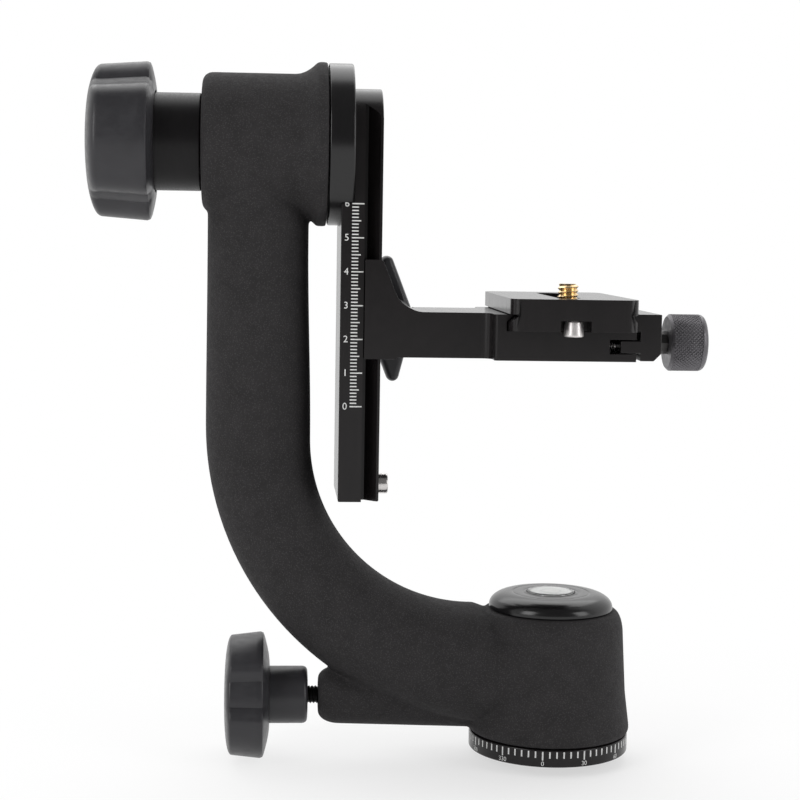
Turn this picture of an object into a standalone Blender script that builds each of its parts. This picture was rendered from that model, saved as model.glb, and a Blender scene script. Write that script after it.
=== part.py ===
"""Side-arm gimbal head for long lenses.

Metres. +Z is up, +X points from the arm to the camera clamp, -Y faces the viewer.
The origin is the centre of the base ring's underside, on the pan axis.
"""

import math

import bmesh
import bpy
from mathutils import Vector

MM = 0.001
TURN = 2.0 * math.pi

# Fits and cuts shared by all pieces
GAP = 0.3 * MM
OVERRUN = 1.0 * MM
EDGE_BREAK = 0.5 * MM
COARSE_STEPS = 10
SMALL_STEPS = 16
MEDIUM_STEPS = 24
LARGE_STEPS = 40
SHARP_ANGLE = math.radians(35.0)

# Base ring and tripod bush
BASE_RADIUS = 25.0 * MM
BASE_HEIGHT = 5.4 * MM
BASE_RIM_BREAK = 0.6 * MM
BUSH_RADIUS = 6.8 * MM
BUSH_BORE_RADIUS = 4.1 * MM
BUSH_HEIGHT = 13.0 * MM
BUSH_LEAD_IN = 0.8 * MM
BUSH_DEPTH_SHY = 0.2 * MM

# Pan spindle, its bearings, washer and nut
SPINDLE_WALL = 1.2 * MM
SPINDLE_FLANGE_HEIGHT = 1.3 * MM
SPINDLE_THREAD_STEP = 0.7 * MM
SPINDLE_HEADROOM = 1.6 * MM
SPINDLE_STICKOUT = 1.0 * MM
BEARING_WIDTH = 4.4 * MM
BEARING_HEIGHT = 5.0 * MM
BEARING_GROOVE_DEPTH = 0.8 * MM
BEARING_GROOVE_WIDTH = 1.6 * MM
WASHER_ROOM = 1.5 * MM
WASHER_EDGE = 4.5 * MM
WASHER_HEIGHT = 1.0 * MM
NUT_WALL = 2.9 * MM
NUT_HEIGHT = 5.4 * MM
NUT_CHAMFER = 0.7 * MM
NUT_SIDES = 6

# Pan housing of the swing arm
HOUSING_HEIGHT = 38.5 * MM
HOUSING_OVERHANG = 0.5 * MM
HOUSING_FOOT_RISE = 1.5 * MM
HOUSING_WAIST_RISE = 12.8 * MM
HOUSING_WAIST_TAPER = 1.5 * MM
HOUSING_SHOULDER_TAPER = 1.1 * MM
HOUSING_SHOULDER_HEIGHT = 7.7 * MM
HOUSING_SHOULDER_ROUND = 3.1 * MM
HOUSING_SHOULDER_STEPS = 4
PAN_BORE_WIDTH = 2.2 * MM

# Level cap and bubble level
CAP_EDGE = 0.4 * MM
CAP_RIM_HEIGHT = 0.7 * MM
CAP_DOME_HEIGHT = 4.2 * MM
CAP_DOME_WIDTH = 6.8 * MM
CAP_DOME_STEPS = 5
CAP_SEAT_LIP = 1.4 * MM
CAP_SEAT_DEPTH = 3.6 * MM
CAP_PLUG_DEPTH = 3.0 * MM
VIAL_LAND = 5.2 * MM
VIAL_DEPTH = 4.6 * MM
VIAL_CROWN = 0.5 * MM

# Curved tube of the swing arm, between an outer and an inner arc
ARM_REACH = 92.9 * MM
ARM_TUBE_RADIUS = 15.4 * MM
ARM_OUTER_BULGE = 0.2 * MM
ARM_OUTER_END_X = -14.7 * MM
ARM_GROUND_CLEARANCE = 2.2 * MM
ARM_INNER_BULGE = 1.2 * MM
ARM_SADDLE_LENGTH = 5.1 * MM
ARM_SADDLE_HEIGHT = 1.5 * MM
ARM_FOOT_INSET = 4.0 * MM
ARM_TUBE_REACH = 8.9 * MM
ARM_COLLAR_DROP = 29.6 * MM
ARM_ROOT_OUTER_LENGTH = 8.4 * MM
ARM_ROOT_INNER_LENGTH = 8.2 * MM
ARM_ROOT_DEPTH = 1.6 * MM
ARM_BEND_STEPS = 10
ARM_STRAIGHT_STEPS = 2
ARM_RING_STEPS = 28

# Pan lock: shoe, stud and star knob
PAN_STUD_RADIUS = 2.8 * MM
PAN_SHOE_LENGTH = 9.1 * MM
PAN_KNOB_CLEARANCE = 5.85 * MM
PAN_KNOB_RADIUS = 19.6 * MM
PAN_KNOB_DOME = 2.0 * MM
PAN_KNOB_RIM_LENGTH = 10.4 * MM
PAN_KNOB_BACK_DOME = 1.7 * MM
PAN_KNOB_VALLEY = 3.0 * MM
PAN_KNOB_PHASE_share = 0.5
PAN_HUB_RADIUS = 8.9 * MM
PAN_HUB_LENGTH = 13.5 * MM
PAN_HUB_ROUND = 1.6 * MM
PAN_NECK_LENGTH = 3.3 * MM
PAN_SOCKET_DEPTH = 19.7 * MM

# Boss that carries the pan lock
BOSS_ABOVE_BEARING = 4.3 * MM
BOSS_NOSE_RADIUS = 9.0 * MM
BOSS_ROOT_RADIUS = 10.3 * MM
BOSS_ROOT_INSET = 4.0 * MM
BOSS_ROUND = 3.8 * MM
BOSS_ROUND_LENGTH = 6.5 * MM
BOSS_ROUND_STEPS = 4

# Tilt housing of the swing arm
TILT_Z = 187.6 * MM
TILT_HOUSING_RADIUS = 21.1 * MM
TILT_HOUSING_OUTER_LIP = 1.7 * MM
TILT_HOUSING_INNER_LIP = 5.2 * MM
TILT_HOUSING_ROUND = 3.0 * MM
TILT_HOUSING_ROUND_STEPS = 3
TILT_FLARE_LENGTH = 6.8 * MM
TILT_FLARE_RISE = 3.7 * MM
TILT_FLARE_STEPS = 3
TILT_FLANGE_THICKNESS = 2.9 * MM

# Tilt shaft, bearings, sleeve, washer and knob
SHAFT_RADIUS = 6.0 * MM
SHAFT_HEAD_STEP = 3.0 * MM
SHAFT_HEAD_LENGTH = 2.5 * MM
SHAFT_THREAD_STEP = 2.0 * MM
SHAFT_END_SHY = 0.7 * MM
TILT_BEARING_WIDTH = 4.7 * MM
TILT_BEARING_LENGTH = 4.6 * MM
SLEEVE_RADIUS = 14.75 * MM
SLEEVE_LENGTH = 14.3 * MM
TILT_WASHER_EDGE = 2.15 * MM
TILT_WASHER_LENGTH = 1.0 * MM
TILT_KNOB_RADIUS = 23.9 * MM
TILT_KNOB_DOME = 4.4 * MM
TILT_KNOB_RIM_LENGTH = 15.0 * MM
TILT_KNOB_BACK_DOME = 1.2 * MM
TILT_KNOB_VALLEY = 3.4 * MM
TILT_KNOB_PHASE_share = 0.0
TILT_KNOB_HOLLOW_ROOM = 0.65 * MM
TILT_KNOB_LAP = 0.5 * MM
INSERT_WALL = 2.7 * MM
INSERT_LENGTH = 11.0 * MM
KNOB_LOBES = 3
KNOB_VALLEY_HALF_ANGLE = math.radians(18.0)
KNOB_STEPS = 60
KNOB_DOME_STEPS = 3
KNOB_RIM_ROUND = 1.2 * MM
KNOB_RIM_TAPER = 1.0 * MM

# Tilt disc
DISC_EDGE = 0.3 * MM
DISC_THICKNESS = 7.5 * MM
DISC_SHOWN_LENGTH = 3.8 * MM

# Slide bar with its dovetail rail
BAR_SLAB_THICKNESS = 7.0 * MM
BAR_HALF_WIDTH = 17.0 * MM
BAR_FOOT_CLEARANCE = 10.31 * MM
RAIL_HEIGHT = 5.4 * MM
RAIL_STEP = 2.0 * MM
RAIL_UNDERCUT = 3.5 * MM
RAIL_LAND = 0.8 * MM
RAIL_RUNOUT_INNER_RISE = 11.9 * MM
RAIL_RUNOUT_OUTER_RISE = 8.0 * MM
BAR_END_STEPS = 20
BAR_SCREW_RADIUS = 2.0 * MM
BAR_SCREW_HEAD_RADIUS = 3.2 * MM
BAR_SCREW_HEAD_LENGTH = 2.2 * MM
BAR_SCREW_HEAD_SHY = 0.15 * MM
BAR_SCREW_REACH = 3.6 * MM
BAR_SCREW_WALL = 0.8 * MM
BAR_SCREW_HEAD_SPACE = 2.8 * MM
STOP_HEAD_RADIUS = 3.15 * MM
STOP_HEAD_LENGTH = 3.4 * MM
STOP_SHANK_RADIUS = 1.6 * MM
STOP_SHANK_LENGTH = 6.0 * MM
STOP_ABOVE_END = 3.5 * MM
SCREW_SOCKET_RADIUS = 1.3 * MM
SCREW_SOCKET_DEPTH = 1.4 * MM

# Cradle: block on the bar, gusset and arm
CRADLE_HEIGHT = 44.0 * MM
BLOCK_RISE = 29.1 * MM
BLOCK_OVERHANG = 1.0 * MM
BLOCK_FOOT_DROP = 0.6 * MM
BLOCK_FOOT_LENGTH = 10.0 * MM
BLOCK_TOP_LENGTH = 5.3 * MM
BLOCK_BACK_THICKNESS = 11.5 * MM
GUSSET_KNEE_LENGTH = 10.3 * MM
GUSSET_KNEE_RISE = 2.9 * MM
GUSSET_LENGTH = 15.9 * MM
MOVING_JAW_LAP = 1.8 * MM

# Height lock: moving jaw, stud and winged knob
HEIGHT_STUD_RADIUS = 3.0 * MM
HEIGHT_STUD_RISE = 9.5 * MM
HEIGHT_STUD_WALL = 1.8 * MM
HEIGHT_STUD_DEPTH = 20.7 * MM
WING_HUB_RADIUS = 7.2 * MM
WING_HUB_WAIST_RADIUS = 6.0 * MM
WING_HUB_LENGTH = 7.0 * MM
WING_THICKNESS = 8.0 * MM
WING_HALF_LENGTH = 20.3 * MM
WING_ROOT_RADIUS = 7.7 * MM
WING_TIP_RADIUS = 2.1 * MM
WING_LEAN = math.radians(3.5)
WING_ROOT_STEPS = 4
WING_TIP_STEPS = 8
WING_SOCKET_DEPTH = 5.0 * MM

# Camera clamp: fixed half, moving jaw, screw, knob, guide pins and springs
CLAMP_STEP = 9.0 * MM
CLAMP_WALL = 3.5 * MM
CLAMP_CORNER = 1.2 * MM
CLAMP_CORNER_STEPS = 2
CLAMP_FILLET = 3.1 * MM
CLAMP_FILLET_STEPS = 5
CLAMP_FLOOR_THICKNESS = 2.3 * MM
CLAMP_BED_THICKNESS = 2.2 * MM
CLAMP_SLOT_HEIGHT = 4.3 * MM
CLAMP_SLOT_DEPTH = 8.0 * MM
JAW_SPACE = 1.2 * MM
JAW_THICKNESS = 6.3 * MM
JAW_RIM_RISE = 0.2 * MM
JAW_CHAMFER = 2.2 * MM
TONGUE_LENGTH = 5.9 * MM
CLAMP_SCREW_RADIUS = 1.7 * MM
CLAMP_SCREW_LENGTH = 29.1 * MM
CLAMP_NECK_RADIUS = 3.7 * MM
CLAMP_NECK_LENGTH = 6.8 * MM
CLAMP_SPIGOT_RADIUS = 2.5 * MM
CLAMP_SPIGOT_LENGTH = 6.0 * MM
CLAMP_KNOB_LENGTH = 11.7 * MM
CLAMP_KNOB_RADIUS = 8.85 * MM
CLAMP_KNOB_BEVEL = 0.8 * MM
CLAMP_KNOB_DOME = 1.9 * MM
CLAMP_KNOB_DOME_STEPS = 4
PIN_INSET = 5.0 * MM
PIN_RADIUS = 0.8 * MM
PIN_DEPTH = 6.6 * MM
PIN_REACH = 4.1 * MM
PIN_ROOM = 5.0 * MM
SPRING_WIRE_RADIUS = 0.25 * MM
SPRING_ROOM = 0.05 * MM
SPRING_TURNS = 2.0
SPRING_WIRE_STEPS = 5
SPRING_STEPS_PER_TURN = 12

# Camera plate with its dovetail, screw and stops
PLATE_HALF_WIDTH = 19.0 * MM
PLATE_OVERHANG = 8.0 * MM
PLATE_FLANGE_HEIGHT = 2.3 * MM
PLATE_DOVETAIL_HEIGHT = 2.6 * MM
PLATE_HEAD_THICKNESS = 4.6 * MM
PLATE_CORNER_ROUND = 2.6 * MM
PLATE_CORNER_STEPS = 5
CAMERA_SLOT_HALF_WIDTH = 3.5 * MM
CAMERA_SLOT_END = 10.0 * MM
HEAD_CHANNEL_STEP = 2.1 * MM
HEAD_CHANNEL_HEIGHT = 4.1 * MM
SLOT_END_STEPS = 10
CAMERA_SCREW_RADIUS = 3.15 * MM
CAMERA_SCREW_INSET = 6.0 * MM
CAMERA_SCREW_STICKOUT = 4.2 * MM
CAMERA_SCREW_HEAD_STEP = 1.85 * MM
CAMERA_SCREW_HEAD_HEIGHT = 2.5 * MM
CAMERA_WASHER_HEIGHT = 0.6 * MM
COIN_SLOT_WIDTH = 1.4 * MM
COIN_SLOT_DEPTH = 1.1 * MM
PLATE_STOP_PLAY = 1.0 * MM
PLATE_STOP_RADIUS = 3.0 * MM
PLATE_STOP_BELOW = 1.6 * MM
PLATE_STOP_HEAD_HEIGHT = 4.2 * MM
PLATE_STOP_NECK_RADIUS = 2.2 * MM
PLATE_STOP_SHANK_RADIUS = 1.4 * MM
PLATE_STOP_SHANK_LENGTH = 3.0 * MM
NOTCH_HALF_WIDTH = 4.6 * MM
NOTCH_HEIGHT = 3.2 * MM

# Radii and heights round the pan axis that follow from the ones above
HOUSING_BOTTOM = BASE_HEIGHT + GAP
HOUSING_TOP = HOUSING_BOTTOM + HOUSING_HEIGHT
HOUSING_SHOULDER_Z = HOUSING_TOP - HOUSING_SHOULDER_HEIGHT
HOUSING_FOOT_RADIUS = BASE_RADIUS + HOUSING_OVERHANG
HOUSING_WAIST_RADIUS = HOUSING_FOOT_RADIUS - HOUSING_WAIST_TAPER
HOUSING_SHOULDER_RADIUS = HOUSING_WAIST_RADIUS - HOUSING_SHOULDER_TAPER
HOUSING_TOP_RADIUS = HOUSING_SHOULDER_RADIUS - HOUSING_SHOULDER_ROUND
CAP_RADIUS = HOUSING_TOP_RADIUS - CAP_EDGE
CAP_FLAT_RADIUS = CAP_RADIUS - CAP_DOME_WIDTH
CAP_SEAT_RADIUS = CAP_RADIUS - CAP_SEAT_LIP
CAP_PLUG_RADIUS = CAP_SEAT_RADIUS - GAP
CAP_SEAT_FLOOR = HOUSING_TOP - CAP_SEAT_DEPTH
CAP_BOTTOM = HOUSING_TOP + GAP
CAP_TOP = CAP_BOTTOM + CAP_RIM_HEIGHT + CAP_DOME_HEIGHT
VIAL_RADIUS = CAP_FLAT_RADIUS - VIAL_LAND
SPINDLE_RADIUS = BUSH_RADIUS + GAP + SPINDLE_WALL
SPINDLE_THREAD_RADIUS = SPINDLE_RADIUS - SPINDLE_THREAD_STEP
SPINDLE_TOP = CAP_SEAT_FLOOR - SPINDLE_HEADROOM
NUT_TOP = SPINDLE_TOP - SPINDLE_STICKOUT
NUT_BOTTOM = NUT_TOP - NUT_HEIGHT
NUT_FLATS_RADIUS = SPINDLE_THREAD_RADIUS + GAP + NUT_WALL
SPINDLE_THREAD_BOTTOM = NUT_BOTTOM - GAP
BEARING_INNER_RADIUS = SPINDLE_RADIUS + GAP
BEARING_OUTER_RADIUS = BEARING_INNER_RADIUS + BEARING_WIDTH
SPINDLE_FLANGE_RADIUS = BEARING_OUTER_RADIUS - EDGE_BREAK
LOWER_BEARING_BOTTOM = HOUSING_BOTTOM + SPINDLE_FLANGE_HEIGHT + GAP
LOWER_BEARING_TOP = LOWER_BEARING_BOTTOM + BEARING_HEIGHT
UPPER_BEARING_BOTTOM = SPINDLE_THREAD_BOTTOM - BEARING_HEIGHT
WASHER_INNER_RADIUS = BEARING_OUTER_RADIUS + WASHER_ROOM
WASHER_OUTER_RADIUS = HOUSING_FOOT_RADIUS - WASHER_EDGE
PAN_BORE_RADIUS = SPINDLE_RADIUS + PAN_BORE_WIDTH

# Arcs of the tube: the outer one clears the ground, the inner one comes down beside the cap
ARM_TUBE_X = -ARM_REACH
ARM_LEFT_X = ARM_TUBE_X - ARM_TUBE_RADIUS
ARM_RIGHT_X = ARM_TUBE_X + ARM_TUBE_RADIUS
ARM_OUTER_RADIUS = ARM_OUTER_END_X - ARM_LEFT_X + ARM_OUTER_BULGE
ARM_OUTER_CENTRE_Z = HOUSING_BOTTOM + ARM_GROUND_CLEARANCE + ARM_OUTER_RADIUS
ARM_INNER_END_X = -CAP_RADIUS - ARM_SADDLE_LENGTH
ARM_INNER_RADIUS = ARM_INNER_END_X - ARM_RIGHT_X - ARM_INNER_BULGE
ARM_INNER_CENTRE_Z = HOUSING_TOP + ARM_SADDLE_HEIGHT + ARM_INNER_RADIUS
ARM_FOOT_HALF_DEPTH = HOUSING_WAIST_RADIUS - ARM_FOOT_INSET
ARM_TUBE_TOP = TILT_Z + ARM_TUBE_REACH
ARM_STRAIGHT_TOP = TILT_Z - ARM_COLLAR_DROP

# Pan lock, from the spindle outwards; its knob keeps clear of the tube's outer arc
BOSS_AXIS_Z = LOWER_BEARING_TOP + BOSS_ABOVE_BEARING
PAN_SHOE_END_X = -SPINDLE_RADIUS - GAP
PAN_STUD_END_X = PAN_SHOE_END_X - PAN_SHOE_LENGTH - GAP
PAN_KNOB_TOP_DEPTH = ARM_OUTER_CENTRE_Z - BOSS_AXIS_Z - PAN_KNOB_RADIUS
PAN_KNOB_ARC = ARM_OUTER_RADIUS + PAN_KNOB_CLEARANCE
PAN_KNOB_BACK_X = ARM_OUTER_END_X - math.sqrt(PAN_KNOB_ARC ** 2 - PAN_KNOB_TOP_DEPTH ** 2)
PAN_KNOB_FACE_X = PAN_KNOB_BACK_X - PAN_KNOB_RIM_LENGTH - PAN_KNOB_DOME
PAN_HUB_END_X = PAN_KNOB_BACK_X + PAN_HUB_LENGTH
PAN_STUD_SOCKET_X = PAN_HUB_END_X - PAN_SOCKET_DEPTH
BOSS_FACE_X = PAN_HUB_END_X + PAN_NECK_LENGTH
BOSS_END_X = -HOUSING_WAIST_RADIUS + BOSS_ROOT_INSET

# Tilt axis, from the flange outwards to the knob
TILT_HOUSING_LEFT_X = ARM_LEFT_X - TILT_HOUSING_OUTER_LIP
TILT_FLANGE_FACE_X = ARM_RIGHT_X + TILT_HOUSING_INNER_LIP
TILT_FLANGE_START_X = TILT_FLANGE_FACE_X - TILT_FLANGE_THICKNESS
TILT_FLARE_START_X = TILT_FLANGE_START_X - TILT_FLARE_LENGTH
TILT_FLANGE_RADIUS = TILT_HOUSING_RADIUS + TILT_FLARE_RISE
TILT_BEARING_OUTER_RADIUS = SHAFT_RADIUS + GAP + TILT_BEARING_WIDTH
SHAFT_HEAD_RADIUS = SHAFT_RADIUS + SHAFT_HEAD_STEP
SHAFT_THREAD_RADIUS = SHAFT_RADIUS - SHAFT_THREAD_STEP
INSERT_RADIUS = SHAFT_THREAD_RADIUS + GAP + INSERT_WALL
SLEEVE_RIGHT_X = TILT_HOUSING_LEFT_X - GAP
SLEEVE_LEFT_X = SLEEVE_RIGHT_X - SLEEVE_LENGTH
TILT_WASHER_RIGHT_X = SLEEVE_LEFT_X - GAP
TILT_WASHER_LEFT_X = TILT_WASHER_RIGHT_X - TILT_WASHER_LENGTH
TILT_WASHER_RADIUS = SLEEVE_RADIUS - TILT_WASHER_EDGE
INSERT_RIGHT_X = TILT_WASHER_LEFT_X - GAP
INSERT_LEFT_X = INSERT_RIGHT_X - INSERT_LENGTH
SHAFT_END_X = INSERT_LEFT_X + SHAFT_END_SHY
TILT_KNOB_HOLLOW_RADIUS = SLEEVE_RADIUS + TILT_KNOB_HOLLOW_ROOM
TILT_KNOB_LENGTH = TILT_KNOB_DOME + TILT_KNOB_RIM_LENGTH + TILT_KNOB_BACK_DOME
TILT_KNOB_FACE_X = SLEEVE_LEFT_X + TILT_KNOB_LAP - TILT_KNOB_LENGTH
DISC_RADIUS = TILT_FLANGE_RADIUS - DISC_EDGE
DISC_LEFT_X = TILT_FLANGE_FACE_X + GAP
DISC_RIGHT_X = DISC_LEFT_X + DISC_THICKNESS

# Slide bar: hung on the disc, its foot clear of the tube's inner arc
BAR_LEFT_X = DISC_LEFT_X + DISC_SHOWN_LENGTH
SLAB_RIGHT_X = BAR_LEFT_X + BAR_SLAB_THICKNESS
BAR_RIGHT_X = SLAB_RIGHT_X + RAIL_HEIGHT
BEND_BELOW_BAR = math.sqrt(ARM_INNER_RADIUS ** 2 - (ARM_INNER_END_X - BAR_LEFT_X) ** 2)
BAR_BOTTOM_Z = ARM_INNER_CENTRE_Z - BEND_BELOW_BAR + BAR_FOOT_CLEARANCE
RAIL_LAND_HALF_WIDTH = BAR_HALF_WIDTH - RAIL_STEP
RAIL_NECK_HALF_WIDTH = RAIL_LAND_HALF_WIDTH - RAIL_UNDERCUT
RAIL_END_INNER_Z = TILT_Z + RAIL_RUNOUT_INNER_RISE
RAIL_END_OUTER_Z = TILT_Z + RAIL_RUNOUT_OUTER_RISE
BAR_SCREW_CIRCLE = SHAFT_HEAD_RADIUS + GAP + BAR_SCREW_WALL + BAR_SCREW_RADIUS + GAP
BAR_SCREW_OFFSET = BAR_SCREW_HEAD_RADIUS + BAR_SCREW_HEAD_SPACE

# Cradle and clamp: lengths from the bar's slab, widths from the bar, heights from its foot
CRADLE_BOTTOM_Z = BAR_BOTTOM_Z + CRADLE_HEIGHT
SLOT_BOTTOM_Z = CRADLE_BOTTOM_Z + CLAMP_FLOOR_THICKNESS
SLOT_TOP_Z = SLOT_BOTTOM_Z + CLAMP_SLOT_HEIGHT
CLAMP_SCREW_Z = (SLOT_BOTTOM_Z + SLOT_TOP_Z) / 2
CLAMP_BED_Z = SLOT_TOP_Z + CLAMP_BED_THICKNESS
PLATE_BOTTOM_Z = CLAMP_BED_Z + GAP
PLATE_FLANGE_TOP_Z = PLATE_BOTTOM_Z + PLATE_FLANGE_HEIGHT
PLATE_LEDGE_Z = PLATE_FLANGE_TOP_Z + PLATE_DOVETAIL_HEIGHT
PLATE_TOP_Z = PLATE_LEDGE_Z + PLATE_HEAD_THICKNESS
CRADLE_TOP_Z = PLATE_LEDGE_Z - GAP
BLOCK_FOOT_Z = CRADLE_BOTTOM_Z - BLOCK_FOOT_DROP
BLOCK_TOP_Z = CRADLE_BOTTOM_Z + BLOCK_RISE
BLOCK_LEFT_X = SLAB_RIGHT_X + GAP
BLOCK_SEAT_X = BAR_RIGHT_X + GAP
BLOCK_RIGHT_X = BLOCK_SEAT_X + BLOCK_BACK_THICKNESS
BLOCK_HALF_WIDTH = BAR_HALF_WIDTH + BLOCK_OVERHANG
MOVING_JAW_SEAT_Y = RAIL_NECK_HALF_WIDTH - MOVING_JAW_LAP
HEIGHT_STUD_X = BLOCK_SEAT_X + GAP + HEIGHT_STUD_RADIUS + HEIGHT_STUD_WALL
HEIGHT_STUD_Z = CRADLE_BOTTOM_Z + HEIGHT_STUD_RISE
HEIGHT_STUD_END_Y = MOVING_JAW_SEAT_Y - HEIGHT_STUD_DEPTH
WING_HUB_END_Y = BLOCK_HALF_WIDTH + WING_HUB_LENGTH
CLAMP_HALF_LENGTH = BLOCK_HALF_WIDTH + CLAMP_STEP
PLATE_WALL_X = PLATE_HALF_WIDTH + GAP
CLAMP_LEFT_X = -PLATE_WALL_X - CLAMP_WALL
CLAMP_RIGHT_X = PLATE_WALL_X + GAP
SLOT_DEPTH_X = CLAMP_RIGHT_X - CLAMP_SLOT_DEPTH
JAW_FACE_X = CLAMP_RIGHT_X + JAW_SPACE
JAW_RIGHT_X = JAW_FACE_X + JAW_THICKNESS
JAW_TOP_Z = PLATE_LEDGE_Z + JAW_RIM_RISE
JAW_BOTTOM_Z = CRADLE_BOTTOM_Z + GAP
TONGUE_END_X = JAW_FACE_X - TONGUE_LENGTH
CLAMP_SCREW_END_X = JAW_RIGHT_X - CLAMP_SCREW_LENGTH
CLAMP_NECK_END_X = JAW_RIGHT_X + GAP + CLAMP_NECK_LENGTH
CLAMP_KNOB_LEFT_X = CLAMP_NECK_END_X + GAP
CLAMP_KNOB_RIGHT_X = CLAMP_KNOB_LEFT_X + CLAMP_KNOB_LENGTH
PIN_Y = CLAMP_HALF_LENGTH - PIN_INSET
PIN_LEFT_X = SLOT_DEPTH_X - PIN_DEPTH
PIN_RIGHT_X = TONGUE_END_X + PIN_REACH
PIN_HOLE_END_X = PIN_RIGHT_X + PIN_ROOM
SPRING_RADIUS = PIN_RADIUS + GAP + SPRING_ROOM + SPRING_WIRE_RADIUS

# Camera plate: its stops hang just beyond the clamp's ends
PLATE_HALF_LENGTH = CLAMP_HALF_LENGTH + PLATE_OVERHANG
PLATE_STOP_Y = CLAMP_HALF_LENGTH + PLATE_STOP_PLAY + PLATE_STOP_RADIUS
CAMERA_SLOT_HALF_LENGTH = PLATE_HALF_LENGTH - CAMERA_SLOT_END
HEAD_CHANNEL_HALF_WIDTH = CAMERA_SLOT_HALF_WIDTH + HEAD_CHANNEL_STEP
CAMERA_SCREW_Y = CAMERA_SCREW_INSET - CAMERA_SLOT_HALF_LENGTH
CAMERA_SCREW_TOP_Z = PLATE_TOP_Z + CAMERA_SCREW_STICKOUT
CAMERA_SCREW_HEAD_RADIUS = CAMERA_SCREW_RADIUS + CAMERA_SCREW_HEAD_STEP

# Room that a 45-degree flank needs for its face to keep the gap
FLANK_GAP = GAP * math.tan(math.radians(22.5))

# Colours and finishes
FINISHES = {
    "cast_black": ((0.035, 0.034, 0.035), 0.62, 0.0),
    "anodised_black": ((0.028, 0.027, 0.028), 0.38, 0.6),
    "gloss_black": ((0.012, 0.012, 0.013), 0.12, 0.0),
    "knob_plastic": ((0.02, 0.02, 0.021), 0.42, 0.0),
    "knurled_grey": ((0.09, 0.09, 0.095), 0.35, 0.8),
    "steel": ((0.62, 0.61, 0.6), 0.28, 1.0),
    "brass": ((0.78, 0.52, 0.22), 0.3, 1.0),
    "acrylic": ((0.75, 0.85, 0.6), 0.08, 0.0),
    "washer_white": ((0.8, 0.79, 0.75), 0.5, 0.0),
}

AXES = {
    "X": (Vector((0, 1, 0)), Vector((0, 0, 1)), Vector((1, 0, 0))),
    "Y": (Vector((1, 0, 0)), Vector((0, 0, 1)), Vector((0, 1, 0))),
    "Z": (Vector((1, 0, 0)), Vector((0, 1, 0)), Vector((0, 0, 1))),
}

ORIGINS = {}


def clear_scene():
    for item in list(bpy.data.objects):
        bpy.data.objects.remove(item, do_unlink=True)


def material(finish):
    """A Principled material for one of the finishes, made once."""
    found = bpy.data.materials.get(finish)
    if found:
        return found
    colour, roughness, metallic = FINISHES[finish]
    made = bpy.data.materials.new(finish)
    made.use_nodes = True
    shader = made.node_tree.nodes["Principled BSDF"]
    shader.inputs["Base Color"].default_value = (*colour, 1.0)
    shader.inputs["Roughness"].default_value = roughness
    shader.inputs["Metallic"].default_value = metallic
    made.diffuse_color = (*colour, 1.0)
    return made


def empty_at(name, place, parent=None):
    """An empty on a joint's axis, which carries the pieces that move there."""
    item = bpy.data.objects.new(name, None)
    bpy.context.collection.objects.link(item)
    ORIGINS[name] = Vector(place)
    item.parent = parent
    item.location = ORIGINS[name] - (ORIGINS[parent.name] if parent else Vector())
    return item


def piece(name, shape, carrier, finish):
    """Object from a bmesh in world coordinates, with its origin at its carrier's."""
    origin = ORIGINS[carrier.name]
    bmesh.ops.recalc_face_normals(shape, faces=shape.faces)
    bmesh.ops.translate(shape, verts=shape.verts, vec=-origin)
    mesh = bpy.data.meshes.new(name)
    shape.to_mesh(mesh)
    shape.free()
    mesh.shade_smooth()
    mesh.set_sharp_from_angle(angle=SHARP_ANGLE)
    item = bpy.data.objects.new(name, mesh)
    bpy.context.collection.objects.link(item)
    item.parent = carrier
    item.data.materials.append(material(finish))
    return item


def helper(name, shape, carrier):
    """A shape that only cuts or adds to a piece."""
    item = piece(name, shape, carrier, "steel")
    item.hide_render = True
    item.display_type = "WIRE"
    return item


def combine(target, other, operation):
    step = target.modifiers.new(other.name, "BOOLEAN")
    step.operation = operation
    step.solver = "EXACT"
    step.object = other


def cut(target, name, shape):
    combine(target, helper(name, shape, target.parent), "DIFFERENCE")


def fuse(target, name, shape):
    combine(target, helper(name, shape, target.parent), "UNION")


def keep_common(target, name, shape):
    combine(target, helper(name, shape, target.parent), "INTERSECT")


def together(shapes):
    """One shape of several that don't touch."""
    whole = bmesh.new()
    for shape in shapes:
        places = {corner: whole.verts.new(corner.co) for corner in shape.verts}
        for face in shape.faces:
            whole.faces.new([places[corner] for corner in face.verts])
        shape.free()
    return whole


def arc(centre, radius, start, end, steps):
    """Points of an arc in a plane, ends included."""
    points = []
    for index in range(steps + 1):
        angle = start + (end - start) * index / steps
        points.append((centre[0] + radius * math.cos(angle), centre[1] + radius * math.sin(angle)))
    return points


def turned(profile, axis, centre, steps, outline=None):
    """Solid turned about an axis from points (radius, distance along the axis).

    The profile either starts and ends on the axis or is a closed loop clear of it.
    The outline, if any, gives the radius at an angle from the profile's radius.
    """
    side, up, along = AXES[axis]
    centre = Vector(centre)
    shape = bmesh.new()
    rings = []
    for radius, distance in profile:
        middle = centre + along * distance
        if radius == 0:
            rings.append([shape.verts.new(middle)])
            continue
        ring = []
        for index in range(steps):
            angle = TURN * index / steps
            reach = outline(radius, angle) if outline else radius
            outward = side * math.cos(angle) + up * math.sin(angle)
            ring.append(shape.verts.new(middle + outward * reach))
        rings.append(ring)
    pairs = list(zip(rings, rings[1:]))
    if profile[0][0] != 0:
        pairs.append((rings[-1], rings[0]))
    for first, second in pairs:
        for index in range(steps):
            following = (index + 1) % steps
            corners = [first[index % len(first)], first[following % len(first)]]
            corners += [second[following % len(second)], second[index % len(second)]]
            distinct = list(dict.fromkeys(corners))
            if len(distinct) > 2:
                shape.faces.new(distinct)
    return shape


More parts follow.
